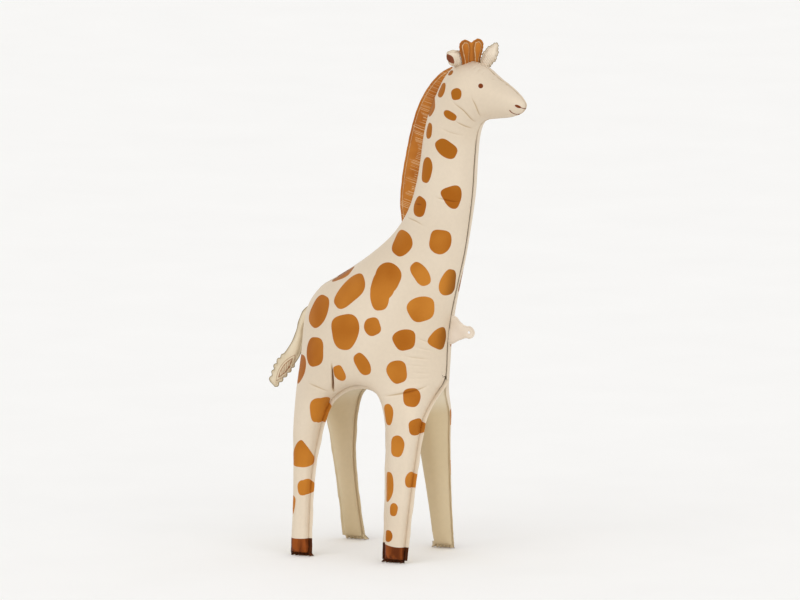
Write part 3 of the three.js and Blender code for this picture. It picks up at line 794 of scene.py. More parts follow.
# %% Blow the mane
MANE_OUTER = [(88, 946), (80, 1010), (86, 1075), (99, 1147), (115, 1222), (139, 1292), (174, 1352),
              (214, 1394), (248, 1413)]
MANE_LOW, MANE_HIGH = (98, 952), (256, 1400)
MANE_ROOT = (9, -3)
MANE_SEAL = 8
MANE_SWELL = 0.26
MANE_STEP = 3.6
mane_rim = curve(MANE_OUTER, 5)
mane_root = curve([MANE_LOW] + [(x + MANE_ROOT[0], z + MANE_ROOT[1]) for x, z in NECK_BACK] + [MANE_HIGH], 5)
mane_edge = between(mane_rim, mane_root)
mane_air = Film(mane_edge, step=3, inset=MANE_SEAL)


def from_root(a, b):
    """Distance from the mane's root and place along it."""
    away = np.array([np.hypot(a - x, b - z) for x, z in mane_root])
    return away.min(axis=0), b * 0.97 + a * 0.25


def mane_thickness(a, b):
    root, run = from_root(a, b)
    gather = np.sin(run / 1.9) * np.sin(run / 4.7 + 1) + 0.6 * np.sin(run / 1.1 + 2)
    pocket = MANE_SWELL * mane_air.half_thickness(a, b)
    return pocket + np.maximum(0.9 * gather * np.exp(-((root - 16) / 9) ** 2), -0.3)


def mane_bend(a, b, depth):
    return 1.2 * np.sin(b / 34) * np.exp(-depth / 14) + 0.5 * np.sin(b / 7 + a / 9) * np.exp(-depth / 6)


mane = film_piece("mane_flap", mane_edge, upright, mane_thickness, MANE_STEP, mane_bend,
                  seal=lambda a, b, depth: depth - MANE_SEAL,
                  root=lambda a, b, depth: from_root(a, b)[0], run=lambda a, b, depth: from_root(a, b)[1])
print("mane:", len(mane.data.polygons), "faces")

# %% [markdown]
# ## The tail
# The tail is a ribbon with a round pocket down its middle and a flat flange on both sides. The lower end is
# cut in scallops, like a tuft of hair, so small bumps are added to the smooth outline there before it is
# filled.

# %% Blow the tail
TAIL_OUTER = [(-200, 704), (-236, 674), (-264, 597), (-292, 553), (-319, 518), (-341, 463)]
TAIL_INNER = [(-204, 648), (-226, 632), (-230, 600), (-244, 545), (-266, 515), (-326, 449)]
TAIL_SEAL = 6
TAIL_SWELL = 0.8
TAIL_STEP = 3
TUFT = {"top": (-254, 549), "tip": (-318, 468), "half": 13}
SCALLOP = {"pitch": 20.0, "height": 6.5, "from": 108}


def scalloped(path, outward):
    """Adds scallops to the end of a tail's edge."""
    tangent = np.gradient(path, axis=0)
    tangent /= np.linalg.norm(tangent, axis=1)[:, None]
    run = np.arange(len(path)) * np.linalg.norm(path[1] - path[0])
    left = run[-1] - run
    at_end = 1 - smooth(0.75, 1, left / SCALLOP["from"])
    bump = SCALLOP["height"] * np.abs(np.sin(np.pi * left / SCALLOP["pitch"])) * at_end
    return path + np.column_stack([tangent[:, 1], -tangent[:, 0]]) * (outward * bump)[:, None]


tail_left, tail_right = scalloped(curve(TAIL_OUTER, 3), 1), scalloped(curve(TAIL_INNER, 3), -1)
tail_edge = between(tail_left, tail_right)
tail_air = Film(tail_edge, step=2, inset=TAIL_SEAL)
tuft_top, tuft_tip = np.array(TUFT["top"], float), np.array(TUFT["tip"], float)
tuft_way = (tuft_tip - tuft_top) / np.linalg.norm(tuft_tip - tuft_top)


def tuft_along(a, b):
    """Place along the tuft's printed leaf, from -1 at its top to 1 at its tip."""
    middle = (tuft_top + tuft_tip) / 2
    half_length = np.linalg.norm(tuft_tip - tuft_top) / 2
    return ((a - middle[0]) * tuft_way[0] + (b - middle[1]) * tuft_way[1]) / half_length


def tuft_across(a, b):
    return ((a - tuft_tip[0]) * tuft_way[1] - (b - tuft_tip[1]) * tuft_way[0]) / TUFT["half"]


tail = film_piece("tail_ribbon", tail_edge, upright,
                  lambda a, b: TAIL_SWELL * tail_air.half_thickness(a, b), TAIL_STEP,
                  lambda a, b, depth: 1.3 * np.sin((a - b) / 4.2) * np.exp(-depth / 5),
                  seal=lambda a, b, depth: depth - TAIL_SEAL,
                  leaf_along=lambda a, b, depth: tuft_along(a, b),
                  leaf_across=lambda a, b, depth: tuft_across(a, b))
print("tail:", len(tail.data.polygons), "faces")

# %% [markdown]
# ## The crest: horns and ears
# Horns and ears are sealed to the top of the head on a line that has turned a little to the giraffe's
# right. The horns are two drumstick lobes in one web of film. They could be two capsules, but the pressed
# web and its crinkled edge are what the eye reads as foil, so they are a film piece with two separate
# pockets.

# %% Blow the horns
CREST = {"x": 310, "z": 1424, "turn": math.radians(32)}
HORN_INNER = [(9, -14), (9, 20), (7, 46), (11, 63)]
HORN_OUTER = [(22, -14), (24, 12), (31, 40), (33, 55), (24, 66)]
HORN_FILM = [(0, 62), (8, 67), (22, 72), (37, 63), (39, 48), (31, 16), (27, -14)]
HORN_SWELL = 0.5
HORN_STEP = 1.5


def on_crest(a, b, c):
    """Crest pieces: a to the giraffe's left, b up, c forward."""
    left = np.array((math.sin(CREST["turn"]), math.cos(CREST["turn"]), 0))
    ahead = np.array((left[1], -left[0], 0))
    return np.outer(a, left) + np.outer(c, ahead) + np.outer(b, (0, 0, 1)) + (CREST["x"], 0, CREST["z"])


def mirrored(path):
    return np.asarray(path) * (-1, 1)


horn_side = curve(HORN_FILM, 2)
horn_edge = between(horn_side, mirrored(horn_side)[1:])
lobe_in, lobe_out = curve(HORN_INNER, 2), curve(HORN_OUTER, 2)
lobe = between(lobe_in, lobe_out)
lobe_air = Film(lobe, step=1.2)
horns = film_piece("horn_lobes", horn_edge, on_crest,
                   lambda a, b: HORN_SWELL * lobe_air.half_thickness(np.abs(a), b), HORN_STEP,
                   lambda a, b, depth: 1.1 * np.sin(b / 1.7 + a / 3) * np.exp(-depth / 2.5),
                   seal=lambda a, b, depth: depth_inside(lobe, np.abs(a), b)[0])
print("horns:", len(horns.data.polygons), "faces")

# %% [markdown]
# ## The ears
# Each ear is a leaf of two films, narrow at its root. The giraffe's right ear shows its inner face with a
# printed patch, and the left one is seen from behind. Both have a rim that is crushed into small waves
# where it was sealed.

# %% Blow the ears
EAR_LENGTH = {"left": 76, "right": 60}
EAR_WIDTH = {"left": 42, "right": 48}
EAR_LEAF = [(0.3, -0.2), (0.38, 0.08), (0.5, 0.42), (0.36, 0.74), (0.06, 1)]
EAR_ROOT = {"left": (34, -5, -14), "right": (23, 3, 14)}
EAR_LIFT = {"left": math.radians(56), "right": math.radians(36)}
EAR_TWIST = {"left": math.radians(150), "right": math.radians(10)}
EAR_SEAL = 5
EAR_STEP = 1.6
EAR_SWELL = 0.55
EAR_RAGGED = {"left": 1.8, "right": 0.7}
EAR_PATCH_PLACE = {"across": -10, "along": 40, "half_width": 8.5, "half_length": 17, "slant": 0.25}


def ragged(path, deep):
    """Cuts small waves into an edge."""
    normal = np.gradient(path, axis=0)[:, ::-1] * (1, -1)
    normal /= np.linalg.norm(normal, axis=1)[:, None]
    run = np.arange(len(path)) * EAR_STEP
    return path + normal * (deep * np.sin(run / 2.1) * np.sin(run / 5.3 + 0.6))[:, None]


def ear(side):
    out = 1 if side == "left" else -1
    twist, tilt = out * EAR_TWIST[side], out * (math.pi / 2 - EAR_LIFT[side])
    root_out, root_up, root_back = EAR_ROOT[side]
    leaf = curve([(a * EAR_WIDTH[side], b * EAR_LENGTH[side]) for a, b in EAR_LEAF], EAR_STEP)
    half = ragged(leaf, EAR_RAGGED[side])
    edge = between(half, mirrored(half))
    air = Film(edge, step=1.5, inset=EAR_SEAL)

    def place(a, b, c):
        x, y, z = a, -c, b
        x, y = x * math.cos(twist) - y * math.sin(twist), x * math.sin(twist) + y * math.cos(twist)
        x, z = x * math.cos(tilt) + z * math.sin(tilt), -x * math.sin(tilt) + z * math.cos(tilt)
        return on_crest(x + out * root_out, z + root_up, -(y + root_back))

    def crush(a, b, depth):
        gathered = 1.3 * np.sin(1.05 * b - 0.5 * a) * (1 - smooth(0.35, 0.6, b / EAR_LENGTH[side]))
        return 1.9 * np.sin(b / 1.9 + np.abs(a) / 3) * np.exp(-depth / 4) + gathered

    spot = EAR_PATCH_PLACE

    def leaf_across(a, b, depth):
        return (a - spot["across"] - spot["slant"] * (b - spot["along"])) / spot["half_width"]

    return film_piece("ear_leaf_" + side, edge, place, lambda a, b: EAR_SWELL * air.half_thickness(a, b),
                      EAR_STEP, crush, seal=lambda a, b, depth: depth - EAR_SEAL,
                      leaf_along=lambda a, b, depth: (b - spot["along"]) / spot["half_length"],
                      leaf_across=leaf_across)


ears = {side: ear(side) for side in ("left", "right")}
print("ears:", [len(e.data.polygons) for e in ears.values()], "faces")

# %% [markdown]
# ## The filling tab
# On the chest a small tongue of film holds the filling valve, with a punched hole in its round end to hang
# the balloon by. It is a flat film piece with no pocket and one hole.

# %% Cut the tab
TAB_END = {"x": 303, "z": 654, "r": 18, "hole": 4}
TAB_ROOT = [(236, 700), (262, 696), (274, 684), (286, 674)]
TAB_HEEL = [(292, 637), (270, 628), (246, 616), (226, 618)]
TAB_SWELL = 0.25
TAB_SEAL = 4
TAB_STEP = 2.5


def tab_arc(radius, degrees):
    turn = np.radians(degrees)
    return np.column_stack([TAB_END["x"] + radius * np.cos(turn), TAB_END["z"] + radius * np.sin(turn)])


def tab_bend(a, b, depth):
    return 0.8 * np.sin(a / 9) * np.sin(b / 11) + 0.3 * np.sin(b / 3) * np.exp(-depth / 3)


tab_round = tab_arc(TAB_END["r"], np.linspace(110, -110, 26))
tab_hole = tab_arc(TAB_END["hole"], np.arange(0, 360, 15))
tab_edge = np.vstack([curve(TAB_ROOT, 3), tab_round, curve(TAB_HEEL, 3)])
tab = film_piece("filling_tab", tab_edge, upright, lambda a, b: TAB_SWELL + 0 * a, TAB_STEP, tab_bend,
                 holes=[tab_hole], seal=lambda a, b, depth: depth - TAB_SEAL)
print("tab:", len(tab.data.polygons), "faces")

# %% [markdown]
# ## Finishes: what all films share
# Every film is satin and a little metallic, crinkles very finely, and never has quite one colour. These
# effects are shader node groups, so each material places the same ones with its own values. The groups only
# put out colours, masks and heights, and the Principled shader stays in the material.

# %% Build the shared node groups


class Nodes:
    """Short calls to place and link shader nodes."""

    def __init__(self, tree):
        self.tree = tree

    def add(self, kind, settings=None, **inputs):
        node = self.tree.nodes.new(kind)
        for key, value in (settings or {}).items():
            setattr(node, key, value)
        for key, value in inputs.items():
            numbered = key[0] == "i" and key[1:].isdigit()
            self.set(node.inputs[int(key[1:]) if numbered else key.replace("_", " ")], value)
        return node

    def set(self, socket, value):
        if isinstance(value, bpy.types.NodeSocket):
            self.tree.links.new(value, socket)
        else:
            socket.default_value = value

    def math(self, operation, a, b=0.0, c=0.0, clamp=False):
        settings = {"operation": operation, "use_clamp": clamp}
        return self.add("ShaderNodeMath", settings, i0=a, i1=b, i2=c).outputs[0]

    def ramp(self, value, low, high, to_low=0.0, to_high=1.0):
        settings = {"interpolation_type": "SMOOTHSTEP"}
        limits = {"From_Min": low, "From_Max": high, "To_Min": to_low, "To_Max": to_high}
        return self.add("ShaderNodeMapRange", settings, Value=value, **limits).outputs[0]

    def mix(self, factor, a, b, blend="MIX"):
        node = self.add("ShaderNodeMix", {"data_type": "RGBA", "blend_type": blend})
        for place, value in ((0, factor), (6, a), (7, b)):
            self.set(node.inputs[place], value)
        return node.outputs[2]

    def value(self, name):
        return self.add("ShaderNodeAttribute", {"attribute_name": name}).outputs["Fac"]

    def noise(self, where, scale, detail=2.0, rough=0.5):
        node = self.add("ShaderNodeTexNoise", None, Vector=where, Scale=scale, Detail=detail, Roughness=rough)
        return node.outputs["Fac"]


def group(name, inputs, outputs, build):
    """A node group with named sockets. build gets the nodes and the input sockets and returns the outputs."""
    tree = bpy.data.node_groups.new(name, "ShaderNodeTree")
    for label, (kind, default) in inputs.items():
        socket = tree.interface.new_socket(label, in_out="INPUT", socket_type=kind)
        socket.default_value = default
    for label, kind in outputs.items():
        tree.interface.new_socket(label, in_out="OUTPUT", socket_type=kind)
    start, end = tree.nodes.new("NodeGroupInput"), tree.nodes.new("NodeGroupOutput")
    for label, socket in build(Nodes(tree), start.outputs).items():
        tree.links.new(socket, end.inputs[label])
    return tree


def place_of(n, stretch=(1, 1, 1)):
    """The place on the object, in metres, stretched for a grain that runs one way."""
    spot = n.add("ShaderNodeTexCoord").outputs["Object"]
    return n.add("ShaderNodeMapping", None, Vector=spot, Scale=stretch).outputs[0]


def place_values(n):
    """The place on the object, in metres, as three values."""
    spot = n.add("ShaderNodeTexCoord").outputs["Object"]
    return n.add("ShaderNodeSeparateXYZ", None, Vector=spot).outputs


def crinkle(n, given):
    fine = n.noise(place_of(n), given["Scale"], 3, 0.6)
    drawn = n.noise(place_of(n, (1, 1, 5)), n.math("MULTIPLY", given["Scale"], 0.35), 2, 0.5)
    ridge = n.math("ABSOLUTE", n.math("SUBTRACT", drawn, 0.5))
    height = n.math("ADD", n.math("MULTIPLY", fine, given["Fine"]), n.math("MULTIPLY", ridge, given["Drawn"]))
    return {"Height": height}


def tint(n, given):
    cloud = n.ramp(n.noise(place_of(n), given["Scale"], 2), 0.3, 0.7)
    grain = n.ramp(n.noise(place_of(n), n.math("MULTIPLY", given["Scale"], 26.0), 2), 0.35, 0.65)
    colour = n.mix(cloud, given["Light"], given["Deep"])
    shade = n.mix(grain, (0.988, 0.988, 0.988, 1), (1.008, 1.008, 1.008, 1))
    roughness = n.ramp(cloud, 0, 1, given["Smooth"], given["Rough"])
    return {"Colour": n.mix(1.0, colour, shade, "MULTIPLY"), "Roughness": roughness}


def seal_line(n, given):
    off = n.math("ABSOLUTE", given["Distance"])
    press = n.ramp(off, 0.0, given["Width"], 1.0, 0.0)
    stitch = n.ramp(n.noise(place_of(n), 160.0, 2), 0.35, 0.6, 0.45, 1.0)
    return {"Line": n.math("MULTIPLY", press, stitch)}


def print_edge(n, given):
    wobble = n.math("MULTIPLY", n.math("SUBTRACT", n.noise(place_of(n), 35.0, 2), 0.5), given["Wobble"])
    return {"Mask": n.ramp(n.math("ADD", given["Depth"], wobble), -0.35, 0.35)}


FLOAT, COLOUR = "NodeSocketFloat", "NodeSocketColor"
crinkle_group = group(
    "film_crinkle", {"Scale": (FLOAT, 60.0), "Fine": (FLOAT, 0.3), "Drawn": (FLOAT, 0.5)},
    {"Height": FLOAT}, crinkle)
tint_group = group(
    "film_tint", {"Light": (COLOUR, (1, 1, 1, 1)), "Deep": (COLOUR, (0.8, 0.8, 0.8, 1)),
                  "Scale": (FLOAT, 6.0), "Smooth": (FLOAT, 0.3), "Rough": (FLOAT, 0.4)},
    {"Colour": COLOUR, "Roughness": FLOAT}, tint)
seal_group = group(
    "pressed_seal", {"Distance": (FLOAT, 0.0), "Width": (FLOAT, 1.2)}, {"Line": FLOAT}, seal_line)
print_group = group(
    "printed_mask", {"Depth": (FLOAT, 0.0), "Wobble": (FLOAT, 0.6)}, {"Mask": FLOAT}, print_edge)
print("node groups:", [g.name for g in bpy.data.node_groups])

# %% [markdown]
# ## The printed body
# The side panels are cream with a pearly sheen, the inner panels are plain tan film. Over them lie the
# print masks: patches from the stored distance, hooves from the height, and the eye, nostril and mouth from
# the place on the head. Cream film is a little metallic and the ink on it less. Painted shade darkens the
# brown on the neck and towards the seam, the seam lines, the creases and folds, and the pressed strips at
# the hooves, and the hooves carry painted sheen streaks. The inner film is paler under the belly.

# %% Paint the body film


def srgb(red, green, blue):
    """A colour as a screen shows it, from 0 to 255."""
    def linear(c):
        c /= 255
        return c / 12.92 if c <= 0.04045 else ((c + 0.055) / 1.055) ** 2.4
    return (linear(red), linear(green), linear(blue), 1)


def material(name):
    made = bpy.data.materials.new(name)
    made.use_nodes = True
    return made, Nodes(made.node_tree), made.node_tree.nodes["Principled BSDF"]


def use(n, tree, **inputs):
    node = n.add("ShaderNodeGroup", {"node_tree": tree})
    for key, value in inputs.items():
        n.set(node.inputs[key], value)
    return node.outputs


def crinkled(n, shader, scale, fine, drawn, strength):
    """Links the film's fine crinkle to a shader's normal."""
    height = use(n, crinkle_group, Scale=scale, Fine=fine, Drawn=drawn)["Height"]
    bump = n.add("ShaderNodeBump", None, Strength=strength, Distance=0.004, Height=height)
    n.set(shader.inputs["Normal"], bump.outputs[0])


CREAM = srgb(225, 210, 189), srgb(220, 204, 182)
TAN = srgb(214, 195, 162), srgb(204, 184, 148)
BELLY = srgb(222, 210, 186)
BROWN = srgb(197, 127, 48), srgb(166, 95, 24)
# Painted shade: the two darker browns below stand in for the foil's sheen turning away on the neck and near
# the outline.
BROWN_NECK_SHADE = srgb(162, 95, 24)
BROWN_EDGE_SHADE = srgb(120, 70, 16)
# Hoof browns: the first two are the print, with painted sheen streaks between them, and the third is painted
# shade, near black, on the pressed flange and crimps.
HOOF_PRINT_SHEEN_SHADE = srgb(150, 78, 32), srgb(100, 48, 20), srgb(38, 20, 12)
SEAM_SHADE = srgb(66, 48, 18)
FOLD_SHADE = srgb(104, 56, 26)
CREASE_SHADE = (0.74, 0.66, 0.54, 1)
FACE_INK = srgb(122, 60, 30)
HOOF_TOP = 0.051
HOOF_LEAN = 0.11
HOOF_SOFT = 0.0006
FRONT_HOOF = (0.03, 0.11)
HALF_HOOF = 0.04
INK_SOFT = 0.0004
EYE = {"x": 0.3704, "z": 1.3735, "r": 0.0070, "across": 1.09, "slant": 0.27, "up": 1.07}
NOSTRIL = {"x": 0.4715, "z": 1.3175, "long": 0.0078, "high": 0.0038, "lean": -0.55}
MOUTH = {"x": 0.473, "z": 1.3125, "r": 0.0235, "half": 0.0015}


def head_marks(n, given):
    """Eye, nostril and mouth, placed from the side on both halves of the head."""
    x, _, z = place_values(n)
    x = n.math("SUBTRACT", x, FEET_X * MM)

    def from_place(mark):
        return n.math("SUBTRACT", x, mark["x"]), n.math("SUBTRACT", z, mark["z"])

    def length(a, b):
        return n.math("SQRT", n.math("ADD", n.math("MULTIPLY", a, a), n.math("MULTIPLY", b, b)))

    a, b = from_place(EYE)
    level = n.math("ADD", n.math("MULTIPLY", a, EYE["across"]), n.math("MULTIPLY", b, EYE["slant"]))
    from_eye = length(level, n.math("MULTIPLY", b, EYE["up"]))
    eye = n.ramp(from_eye, EYE["r"] - INK_SOFT, EYE["r"] + INK_SOFT, 1, 0)
    a, b = from_place(NOSTRIL)
    s, c = math.sin(NOSTRIL["lean"]), math.cos(NOSTRIL["lean"])
    along = n.math("ADD", n.math("MULTIPLY", a, c), n.math("MULTIPLY", b, s))
    across = n.math("SUBTRACT", n.math("MULTIPLY", b, c), n.math("MULTIPLY", a, s))
    oval = length(n.math("DIVIDE", along, NOSTRIL["long"]), n.math("DIVIDE", across, NOSTRIL["high"]))
    nostril = n.ramp(oval, 0.9, 1.1, 1, 0)
    tail_of = n.ramp(n.math("ABSOLUTE", across), 0.0008, 0.0014, 1, 0)
    ends = n.math("MULTIPLY", n.ramp(along, 0.0, 0.001), n.ramp(along, 0.02, 0.022, 1, 0))
    stroke = n.math("MULTIPLY", tail_of, ends)
    a, b = from_place(MOUTH)
    ring = n.math("ABSOLUTE", n.math("SUBTRACT", length(a, b), MOUTH["r"]))
    lips = n.math("MULTIPLY", n.ramp(ring, MOUTH["half"] - INK_SOFT, MOUTH["half"] + INK_SOFT, 1, 0),
                  n.math("MULTIPLY", n.ramp(b, -0.006, -0.005, 1, 0), n.ramp(a, -0.008, -0.007, 1, 0)))
    marks = n.math("MAXIMUM", n.math("MAXIMUM", eye, nostril), n.math("MAXIMUM", stroke, lips))
    return {"Mask": n.math("MULTIPLY", marks, n.ramp(z, 1.20, 1.21))}


marks_group = group("head_marks", {}, {"Mask": FLOAT}, head_marks)
printed, n, shader = material("printed_foil")
cream = use(n, tint_group, Light=CREAM[0], Deep=CREAM[1], Scale=4.0, Smooth=0.48, Rough=0.54)
tan = use(n, tint_group, Light=TAN[0], Deep=TAN[1], Scale=3.0, Smooth=0.48, Rough=0.54)
brown = use(n, tint_group, Light=BROWN[0], Deep=BROWN[1], Scale=5.5, Smooth=0.36, Rough=0.42)
# Painted highlight: long vertical streaks of sheen run down the hooves.
hoof_sheen_streak = n.ramp(n.noise(place_of(n, (1, 1, 0.08)), 75.0, 2), 0.35, 0.65)
hoof = n.mix(hoof_sheen_streak, HOOF_PRINT_SHEEN_SHADE[0], HOOF_PRINT_SHEEN_SHADE[1])
# Painted shade: the pressed flange and crimp strips at the hooves are darkened towards near black.
hoof = n.mix(n.math("MULTIPLY", n.value("pressed"), 0.75), hoof, HOOF_PRINT_SHEEN_SHADE[2])
ahead, _, height = place_values(n)
along_hoof = n.ramp(ahead, *FRONT_HOOF, -HALF_HOOF, HALF_HOOF)
lean = n.math("MULTIPLY", along_hoof, n.ramp(ahead, -0.05, 0.0, 0.0, HOOF_LEAN))
hoof_height = n.math("ADD", height, lean)
outer = n.ramp(n.value("panel"), -0.6, 0.6)
patch = n.math("MULTIPLY", use(n, print_group, Depth=n.value("patch"))["Mask"], outer)
below_top = n.ramp(hoof_height, HOOF_TOP - HOOF_SOFT, HOOF_TOP + HOOF_SOFT, 1, 0)
hoof_mask = n.math("MULTIPLY", below_top, outer)
marks = use(n, marks_group)["Mask"]
# Painted shade: a dark line along the seam, in the crevice beside the flange, weaker on the outer legs and on
# the head.
on_seam = n.ramp(n.math("ABSOLUTE", n.value("seam_side")), 2.0, 4.4, 0.95, 0.0)
seam_shade_mask = n.math("MULTIPLY", on_seam, n.ramp(n.value("seam"), 14, 24, 1, 0))
leg_seam = n.ramp(n.value("panel"), -4.0, -1.5, 0.7, 0.0)
seam_shade_mask = n.math("MULTIPLY", seam_shade_mask, n.ramp(height, 0.46, 0.52, leg_seam, 1.0))
seam_shade_mask = n.math("MULTIPLY", seam_shade_mask, n.ramp(height, 1.18, 1.25, 1, 0.12))
# Painted shade: the crease lines are darkened, and the deep folds turn dark brown.
deep_fold = n.ramp(n.value("fold"), 0.36, 0.62, 0.0, 0.95)
fold_line = n.ramp(n.value("fold"), 0.06, 0.32)
inner_film = n.mix(n.ramp(height, 0.40, 0.46, 0.0, 0.8), tan["Colour"], BELLY)
colour = n.mix(outer, inner_film, cream["Colour"])
colour = n.mix(seam_shade_mask, colour, SEAM_SHADE)
# Painted shade: the brown print is darkened on the neck and head, and near the seam above the legs, where the
# foil turns away.
shaded_brown = n.mix(n.ramp(height, 1.0, 1.2, 0.0, 0.85), brown["Colour"], BROWN_NECK_SHADE)
edge_shade = n.math("MULTIPLY", n.ramp(n.value("seam"), 6, 62, 0.8, 0.0), n.ramp(height, 0.5, 0.62))
shaded_brown = n.mix(edge_shade, shaded_brown, BROWN_EDGE_SHADE)
colour = n.mix(patch, colour, shaded_brown)
colour = n.mix(marks, colour, FACE_INK)
colour = n.mix(fold_line, colour, CREASE_SHADE, "MULTIPLY")
colour = n.mix(deep_fold, colour, FOLD_SHADE)
colour = n.mix(hoof_mask, colour, hoof)
n.set(shader.inputs["Base Color"], colour)
inked = n.math("MAXIMUM", patch, hoof_mask)
bare_foil = n.ramp(inked, 0, 1, 0.3, 0.12)
n.set(shader.inputs["Metallic"], n.math("MULTIPLY", bare_foil, n.ramp(seam_shade_mask, 0, 0.5, 1, 0)))
n.set(shader.inputs["Roughness"], n.ramp(inked, 0, 1, cream["Roughness"], brown["Roughness"]))
shader.inputs["Specular IOR Level"].default_value = 0.05
crinkled(n, shader, scale=60.0, fine=0.03, drawn=0.04, strength=0.1)
for piece in (body, flange, crimps):
    piece.data.materials.append(printed)
print("printed foil:", len(n.tree.nodes), "nodes")

# %% [markdown]
# ## Orange film
# The mane and horns are printed all over in one orange brown. The pressed seal lines carry a painted
# highlight, and on the mane painted glints run in short streaks out from the puckers gathered at the root;
# these lines are also a little shinier. Beside the seal the orange is darkened as painted shade.

# %% Paint mane and horns
ORANGE = srgb(190, 117, 38), srgb(170, 96, 24)
ORANGE_SHADE = srgb(126, 68, 14)
GLINT = srgb(236, 204, 158)


def orange_film(name, seal_inset, seal_shade, glints):
    made, n, shader = material(name)
    base = use(n, tint_group, Light=ORANGE[0], Deep=ORANGE[1], Scale=14.0, Smooth=0.38, Rough=0.46)
    # Painted highlight: the pressed seal line and, on the mane, short glints on the puckers out from the root
    # are painted lighter.
    line = use(n, seal_group, Distance=n.math("SUBTRACT", n.value("seal"), seal_inset), Width=1.7)["Line"]
    painted_highlight = n.math("MULTIPLY", line, 0.85)
    if glints:
        wander = n.math("MULTIPLY", n.noise(place_of(n), 60.0, 1), 2.5)
        run = n.math("ADD", n.value("run"), wander)
        grain = n.add("ShaderNodeTexNoise", {"noise_dimensions": "1D"}, W=run, Scale=0.42, Detail=1.0)
        glint_streak = n.ramp(grain.outputs[0], 0.55, 0.66)
        reach = n.ramp(n.noise(place_of(n), 25.0, 1), 0.3, 0.7, 28.0, 60.0)
        fading = n.ramp(n.math("SUBTRACT", n.value("root"), reach), -5, 3, 1, 0)
        band = n.math("MULTIPLY", n.ramp(n.value("root"), 6, 11), fading)
        thin_out = n.ramp(n.value("run"), 1270, 1340, 0.7, 0.35)
        painted_highlight = n.math("MAXIMUM", painted_highlight, n.math("MULTIPLY", n.math("MULTIPLY", glint_streak, band), thin_out))
    # Painted shade: the orange is darkened beside the seal.
    seal_shade_mask = n.ramp(n.math("ABSOLUTE", n.value("seal")), 1.0, 7.0, seal_shade, 0.0)
    colour = n.mix(seal_shade_mask, base["Colour"], ORANGE_SHADE)
    n.set(shader.inputs["Base Color"], n.mix(painted_highlight, colour, GLINT))
    n.set(shader.inputs["Metallic"], n.ramp(painted_highlight, 0, 1, 0.2, 0.5))
    shader.inputs["Specular IOR Level"].default_value = 0.2
    n.set(shader.inputs["Roughness"], n.ramp(painted_highlight, 0, 1, base["Roughness"], 0.28))
    crinkled(n, shader, scale=90.0, fine=0.12, drawn=0.24, strength=0.3)
    return made


mane.data.materials.append(orange_film("mane_foil", seal_inset=0.0, seal_shade=0.15, glints=True))
horns.data.materials.append(orange_film("horn_foil", seal_inset=2.2, seal_shade=0.5, glints=False))
print("orange films:", mane.data.materials[0].name, horns.data.materials[0].name)

# %% [markdown]
# ## Cream film on ears, tail and tab
# These small pieces are the cream of the body. Their crushed rims, and faintly their seal lines, are painted
# darker as painted shade in the crinkles. The right ear has a brown patch inside and the tail's tuft a few
# nested leaf lines. Each flat piece stored its own leaf coordinates, so ellipses drawn in them follow the
# film however it is turned.

# %% Paint ears, tail and tab
RIM_SHADE_COLOUR = srgb(136, 116, 76)
EAR_PATCH = srgb(140, 76, 42), srgb(112, 56, 28)
TUFT_INK = srgb(158, 98, 52), EAR_PATCH[0]
TAIL_CREAM = srgb(230, 214, 186), srgb(218, 201, 170)
TAB_CREAM = srgb(236, 222, 204), srgb(230, 215, 196)


def leaf_radius(n):
    """1 on the edge of a pointed leaf, less inside it."""
    a, b = n.value("leaf_along"), n.value("leaf_across")
    return n.math("ADD", n.math("MULTIPLY", a, a), n.math("ABSOLUTE", b))


def cream_film(name, rim_width, rim_shade, light=CREAM, ink=None, ink_tint=None):
    made, n, shader = material(name)
    base = use(n, tint_group, Light=light[0], Deep=light[1], Scale=20.0, Smooth=0.46, Rough=0.54)
    # Painted shade: the crushed rim and, more faintly, the seal line are darkened.
    edge = n.ramp(n.value("rim"), 0.3, rim_width, rim_shade, 0.0)
    line = use(n, seal_group, Distance=n.value("seal"), Width=1.0)["Line"]
    shade = n.math("MAXIMUM", edge, n.math("MULTIPLY", line, 0.35))
    colour = n.mix(shade, base["Colour"], RIM_SHADE_COLOUR)
    if ink:
        print_tint = use(n, tint_group, Light=ink_tint[0], Deep=ink_tint[1], Scale=40.0)
        colour = n.mix(ink(n), colour, print_tint["Colour"])
    n.set(shader.inputs["Base Color"], colour)
    n.set(shader.inputs["Roughness"], base["Roughness"])
    shader.inputs["Metallic"].default_value = 0.28
    shader.inputs["Specular IOR Level"].default_value = 0.3
    crinkled(n, shader, scale=120.0, fine=0.15, drawn=0.28, strength=0.3)
    return made


def ear_patch(n):
    inside = n.math("MULTIPLY", n.math("SUBTRACT", 1.0, leaf_radius(n)), 12.0)
    mask = use(n, print_group, Depth=inside, Wobble=1.5)["Mask"]
    return n.math("MULTIPLY", mask, n.ramp(n.value("face"), -0.2, 0.2))


def tuft_lines(n):
    reach = leaf_radius(n)
    lines = 0.0
    for radius, strength in ((0.96, 0.6), (0.5, 0.95)):
        ring = n.math("ABSOLUTE", n.math("SUBTRACT", reach, radius))
        lines = n.math("MAXIMUM", lines, n.ramp(ring, 0.04, 0.09, strength, 0))
    slant = n.math("ADD", n.value("leaf_along"), n.math("MULTIPLY", n.value("leaf_across"), 0.5))
    hatch = n.ramp(n.math("SINE", n.math("MULTIPLY", slant, 34.0)), 0.2, 0.7, 0, 0.75)
    return n.math("MAXIMUM", lines, n.math("MULTIPLY", hatch, n.ramp(reach, 0.45, 0.52, 1, 0)))


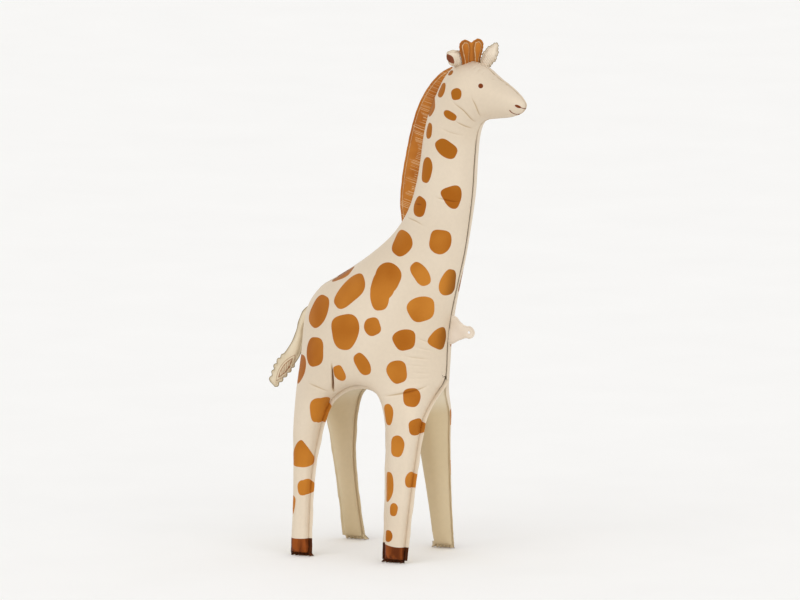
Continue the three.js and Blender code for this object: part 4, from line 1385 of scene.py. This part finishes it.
ear_film = {
    "left": cream_film("ear_foil_back", rim_width=4.0, rim_shade=0.8),
    "right": cream_film("ear_foil", rim_width=2.5, rim_shade=0.25, ink=ear_patch, ink_tint=EAR_PATCH),
}
for side, piece in ears.items():
    piece.data.materials.append(ear_film[side])
tail_film = cream_film("tail_foil", rim_width=5.0, rim_shade=0.85, light=TAIL_CREAM,
                       ink=tuft_lines, ink_tint=TUFT_INK)
tail.data.materials.append(tail_film)
tab.data.materials.append(cream_film("tab_film", rim_width=2.0, rim_shade=0.1, light=TAB_CREAM))
print("cream films:", [p.data.materials[0].name for p in (*ears.values(), tail, tab)])

# %% [markdown]
# ## Floor and light
# A balloon is photographed in flat white light, so that the foil has no hard glints. A pale floor, a white
# world and two very wide lamps do the same here: one high beside the camera, one to fill the chest side.

# %% Light the studio
FLOOR = 14.0
WORLD_STRENGTH = 0.88
LAMP_WIDTH = math.radians(50)
floor_mesh = bpy.data.meshes.new("floor")
corners = [(x * FLOOR, y * FLOOR, 0) for x, y in ((-1, -1), (1, -1), (1, 1), (-1, 1))]
floor_mesh.from_pydata(corners, [], [(0, 1, 2, 3)])
floor = bpy.data.objects.new("floor", floor_mesh)
scene.collection.objects.link(floor)
made, n, shader = material("pale_floor")
n.set(shader.inputs["Base Color"], n.mix(n.noise(place_of(n), 3.0), srgb(250, 249, 247), srgb(246, 245, 243)))
shader.inputs["Roughness"].default_value = 0.9
floor_mesh.materials.append(made)
world = bpy.data.worlds.new("white_room")
world.use_nodes = True
world.node_tree.nodes["Background"].inputs["Color"].default_value = (1, 1, 1, 1)
world.node_tree.nodes["Background"].inputs["Strength"].default_value = WORLD_STRENGTH
scene.world = world
scene.view_settings.view_transform = "Standard"
LAMPS = {"key": ((-0.25, -1.0, 0.75), 0.36), "fill": ((1.0, -0.45, 0.45), 0.45)}
for name, (towards, power) in LAMPS.items():
    lamp = bpy.data.lights.new(name, "SUN")
    lamp.angle, lamp.energy = LAMP_WIDTH, power
    holder = bpy.data.objects.new(name, lamp)
    holder.rotation_euler = Vector(towards).to_track_quat("Z", "Y").to_euler()
    scene.collection.objects.link(holder)
print("lamps:", list(LAMPS))

# %% [markdown]
# ## Ride on the body
# The part has no joints, so every piece rides on the one body. A table lists each visual piece with the
# imported solids it stands for, which are then hidden, and the name of a finish.

# %% Ride and replace
STANDS_FOR = [
    (body, ["balloon_body"], "printed_foil"), (flange, [], "printed_foil"), (crimps, [], "printed_foil"),
    (mane, ["mane"], "mane_foil"), (horns, ["horns"], "horn_foil"),
    (ears["left"], ["ear_left"], "ear_foil"), (ears["right"], ["ear_right"], "ear_foil"),
    (tail, ["tail"], "tail_foil"), (tab, ["inflation_tab"], "tab_film"),
]
for piece, nodes, slot in STANDS_FOR:
    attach(piece, "root")
    if nodes:
        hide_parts(*nodes)
print("triangles:", {p.name: sum(len(f.vertices) - 2 for f in p.data.polygons) for p, _, _ in STANDS_FOR})
